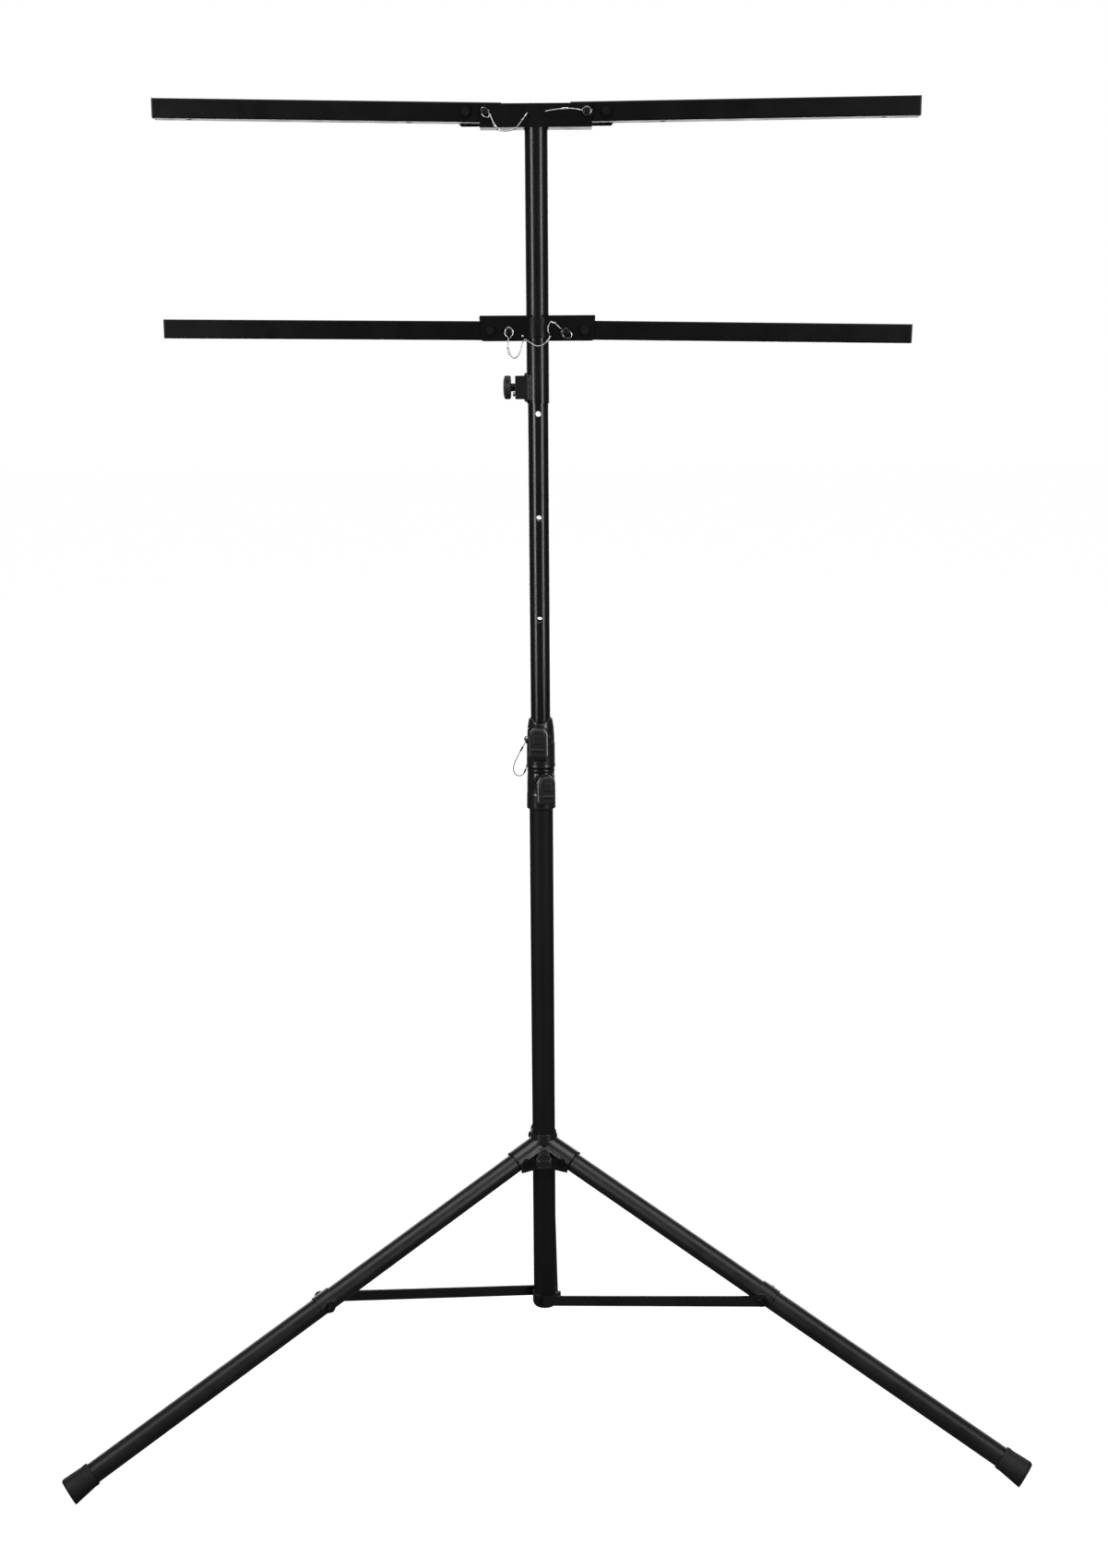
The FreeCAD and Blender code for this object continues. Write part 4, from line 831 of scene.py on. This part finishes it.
class STAND_OT_pins(bpy.types.Operator):
    """Lock pins with their wire loops, and the safety pin"""
    bl_idname = "stand.pins"
    bl_label = "Pins"

    def execute(self, context):
        for arm in ARMS:
            node = f"{arm}_lock_pin"
            low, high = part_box(node)
            spot = Vector(((low[0] + high[0]) / 2, high[1], (low[2] + high[2]) / 2))
            length = high[1] - low[1]
            place = Matrix.Translation(spot) @ TO_FRONT
            profile = [(2.6, 0), (3.9, 1.2), (3.9, length / MM - 4.2), (5.2, length / MM - 4.0),
                       (6.0, length / MM - 3.5), (6.0, length / MM - 1.7), (5.6, length / MM - 1.0),
                       (4.2, length / MM - 0.25), (2.0, length / MM)]
            pin = turned(in_mm(profile), 40, place=place)
            finish_piece(pin, f"{arm}_lock_pin_turned", f"{arm}_pin", "bolt_black", [node])
            (right, up), long, wide, turn = PIN_LOOPS[arm]
            loop = wire_loop(Vector((spot.x + right * MM, LOOP_PLANE, spot.z + up * MM)),
                             long * MM, wide * MM, math.radians(turn))
            finish_piece(loop, f"{arm}_lock_pin_ring", f"{arm}_pin", "zinc_steel")
        self.safety_pin()
        return {"FINISHED"}

    def safety_pin(self):
        """A round-headed pull pin."""
        axis = Vector(joint("safety_pin_pull")["axis"])
        height = middle("safety_pin").z
        place = look_along(Vector((0, 0, height)), axis)
        profile = [(2.6, 17.8), (3.9, 18.8), (3.9, 26.0), (5, 26.2), (5.2, 27), (5.2, 29), (4.6, 30.6),
                   (2.6, 31.4), (1.2, 31.5)]
        pin = turned(in_mm(profile), 36, place=place)
        finish_piece(pin, "safety_pin_turned", "pull_pin", "zinc_steel", ["safety_pin"])


class STAND_OT_end_caps(bpy.types.Operator):
    """Moulded end caps of the crossbars"""
    bl_idname = "stand.end_caps"
    bl_label = "End caps"

    def execute(self, context):
        for arm in ARMS:
            cap = copy_of(f"{arm}_end_cap")
            edit(cap)
            bpy.ops.mesh.dissolve_limited(angle_limit=math.radians(1))
            done()
            apply_modifier(cap, "BEVEL", width=0.0011, segments=3, limit_method="ANGLE")
            finish_piece(cap, f"{arm}_end_cap_moulding", arm, "plastic_black", [f"{arm}_end_cap"], 30)
        return {"FINISHED"}


class STAND_OT_welds(bpy.types.Operator):
    """Weld beads, and the seam and eyelets of the lower bracket"""
    bl_idname = "stand.welds"
    bl_label = "Welds"

    def execute(self, context):
        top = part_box("upper_bracket")[0][2]
        thick = sizes().weld
        for number, turn in enumerate((-62, 62, 180), start=1):
            bead = fuse([round_rib(19.6 * MM, (turn - 20, top - 0.9 * MM), (turn + 20, top - 0.9 * MM),
                                   thick, 13)], 0.0005, 1)
            finish_piece(bead, f"upper_weld_{number}", "t_top", "bar_black", (), 60)
        low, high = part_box("lower_bracket_front")
        seam = block((1.3 * MM, 1.2 * MM, 27 * MM),
                     Matrix.Translation((0, low[1] + 0.2 * MM, low[2] + 22 * MM)), 0.5 * MM)
        finish_piece(seam, "lower_bracket_seam", "t_top", "bar_black")
        for side, across, up in (("left", -24.2, 7.2), ("right", 20.4, 6.2)):
            place = Matrix.Translation((across * MM, -19.4 * MM, low[2] + up * MM)) @ TO_FRONT
            eyelet = turned(in_mm([(2.1, 0), (2.1, 0.5), (1.7, 1.2), (0.8, 1.7)]), 24, place=place)
            finish_piece(eyelet, f"lower_eyelet_{side}", "t_top", "zinc_steel")
        for number, (turn, height) in enumerate(
                ((-34, high[2]), (34, high[2]), (146, high[2]), (214, high[2])), start=1):
            bead = round_rib(20.4 * MM, (turn - 14, height - 0.2 * MM), (turn + 14, height - 0.2 * MM),
                             thick * 0.8, 9)
            finish_piece(bead, f"lower_weld_{number}", "t_top", "bar_black", (), 60)
        return {"FINISHED"}


# ------------------------------------------------------------------ frame finishes and stage
class STAND_OT_frame_finish(bpy.types.Operator):
    """Gives every carried-over piece of the frame its finish"""
    bl_idname = "stand.frame_finish"
    bl_label = "Frame finishes"

    def execute(self, context):
        for entry in frame["record"]["subparts"]:
            piece = frame["nodes"][entry["node"]]
            piece.data.materials.clear()
            finish = "mast_matte" if entry["node"] == "outer_mast" else entry["material_slot"]
            piece.data.materials.append(FINISH[finish])
        return {"FINISHED"}


def soft_light(name, spot, aim, wide, tall, watts):
    clear()
    bpy.ops.object.light_add(type="AREA", location=spot)
    lamp = bpy.context.object
    lamp.name = name
    lamp.data.shape = "RECTANGLE"
    lamp.data.size = wide
    lamp.data.size_y = tall
    lamp.data.energy = watts
    lamp.rotation_euler = (Vector(aim) - Vector(spot)).to_track_quat("-Z", "Y").to_euler()


def pale_world(lit, seen):
    """A white surround that lights the stand less than it shows."""
    world = bpy.data.worlds.new("studio")
    bpy.context.scene.world = world
    world.use_nodes = True
    tree = world.node_tree
    tree.nodes.clear()
    out = tree.nodes.new("ShaderNodeOutputWorld")
    mix = tree.nodes.new("ShaderNodeMixShader")
    path = tree.nodes.new("ShaderNodeLightPath")
    dim = tree.nodes.new("ShaderNodeBackground")
    bright = tree.nodes.new("ShaderNodeBackground")
    dim.inputs["Color"].default_value = (lit, lit, lit, 1)
    bright.inputs["Color"].default_value = (seen, seen, seen, 1)
    tree.links.new(path.outputs["Is Camera Ray"], mix.inputs["Fac"])
    tree.links.new(dim.outputs["Background"], mix.inputs[1])
    tree.links.new(bright.outputs["Background"], mix.inputs[2])
    tree.links.new(mix.outputs["Shader"], out.inputs["Surface"])


FLOOR_SIZE = 60
FLOOR_LIFT = -0.0005
FLOOR_GLOW = 0.96
WORLD_LIT = 0.09
WORLD_SEEN = 1.0

# name, place, what it points at, width, height and watts
LIGHTS = (
    ("key light", (-2.1, -2.0, 1.9), (0, 0, 1.6), 0.5, 2.4, 38),
    ("fill light", (2.1, -2.0, 1.9), (0, 0, 1.6), 0.5, 2.4, 34),
    ("top light", (0, -0.9, 4.4), (0, 0, 0.4), 3.4, 2.2, 62),
    ("backdrop", (0, 10, 1.5), (0, 0, 1.5), 16, 7, 900),
)

CAMERA_PLACE = (0.0497, -2.92598, 1.7855)
CAMERA_YAW = -0.533
CAMERA_DIP = 13.467
CAMERA_ROLL = -0.341
CAMERA_LENS = 39.715


class STAND_OT_stage(bpy.types.Operator):
    """Pale floor, soft studio light and the camera"""
    bl_idname = "stand.stage"
    bl_label = "Stage"

    def execute(self, context):
        self.camera()
        clear()
        bpy.ops.mesh.primitive_plane_add(size=FLOOR_SIZE, location=(0, 0, FLOOR_LIFT))
        floor = bpy.context.object
        settle(floor)
        floor.name = "floor"
        finish, tree, shader = new_finish("studio floor")
        shade = colours().floor
        tree.links.new(tint(tree, grain(tree, 1.5, 3), [part * 0.985 for part in shade], shade),
                       shader.inputs["Base Color"])
        shader.inputs["Roughness"].default_value = 0.9
        shader.inputs["Specular IOR Level"].default_value = 0.0
        shader.inputs["Emission Color"].default_value = (1, 1, 1, 1)
        shader.inputs["Emission Strength"].default_value = FLOOR_GLOW
        floor.data.materials.append(finish)
        floor.visible_glossy = False
        floor.visible_diffuse = False
        pale_world(WORLD_LIT, WORLD_SEEN)
        for light in LIGHTS:
            soft_light(*light)
        return {"FINISHED"}

    def camera(self):
        """A camera at eye height in front of the stand, tipped down a little."""
        yaw, dip, roll = (math.radians(part) for part in (CAMERA_YAW, CAMERA_DIP, CAMERA_ROLL))
        ahead = Vector((math.sin(yaw) * math.cos(dip), math.cos(yaw) * math.cos(dip), -math.sin(dip)))
        right = Vector((math.cos(yaw), -math.sin(yaw), 0))
        above = right.cross(ahead)
        tilted_right = right * math.cos(roll) + above * math.sin(roll)
        tilted_above = above * math.cos(roll) - right * math.sin(roll)
        turn = Matrix((tilted_right, tilted_above, -ahead)).transposed()
        clear()
        bpy.ops.object.camera_add(location=CAMERA_PLACE)
        camera = bpy.context.object
        camera.rotation_euler = turn.to_euler()
        camera.data.lens = CAMERA_LENS
        camera.data.sensor_width = 36
        camera.data.clip_start = 0.05
        camera.data.clip_end = 200
        bpy.context.scene.camera = camera
        bpy.context.scene.view_settings.view_transform = "Standard"


STEPS = (STAND_OT_stage, STAND_OT_lanyards, STAND_OT_frame_finish, STAND_OT_collars, STAND_OT_knobs,
         STAND_OT_hub, STAND_OT_foot, STAND_OT_boots, STAND_OT_clamps, STAND_OT_sleeve_clamp,
         STAND_OT_pins, STAND_OT_end_caps, STAND_OT_welds)


class STAND_PT_panel(bpy.types.Panel):
    """Lists the stand's pieces and settings"""
    bl_idname = "STAND_PT_panel"
    bl_label = "Crossbar Stand"
    bl_space_type = "VIEW_3D"
    bl_region_type = "UI"
    bl_category = "Stand"

    def draw(self, context):
        column = self.layout.column()
        for step in STEPS:
            column.operator(step.bl_idname)
        for group in (context.scene.stand_sizes, context.scene.stand_colours):
            for name in group.__annotations__:
                column.prop(group, name)


CLASSES = (StandSizes, StandColours, *STEPS, STAND_PT_panel)


def register():
    for entry in CLASSES:
        bpy.utils.register_class(entry)
    bpy.types.Scene.stand_sizes = bpy.props.PointerProperty(type=StandSizes)
    bpy.types.Scene.stand_colours = bpy.props.PointerProperty(type=StandColours)


def unregister():
    del bpy.types.Scene.stand_colours
    del bpy.types.Scene.stand_sizes
    for entry in reversed(CLASSES):
        bpy.utils.unregister_class(entry)


def main():
    register()
    FINISH.update(make_finishes())
    for step in STEPS:
        group, name = step.bl_idname.split(".")
        getattr(getattr(bpy.ops, group), name)()


if __name__ == "__main__":
    main()
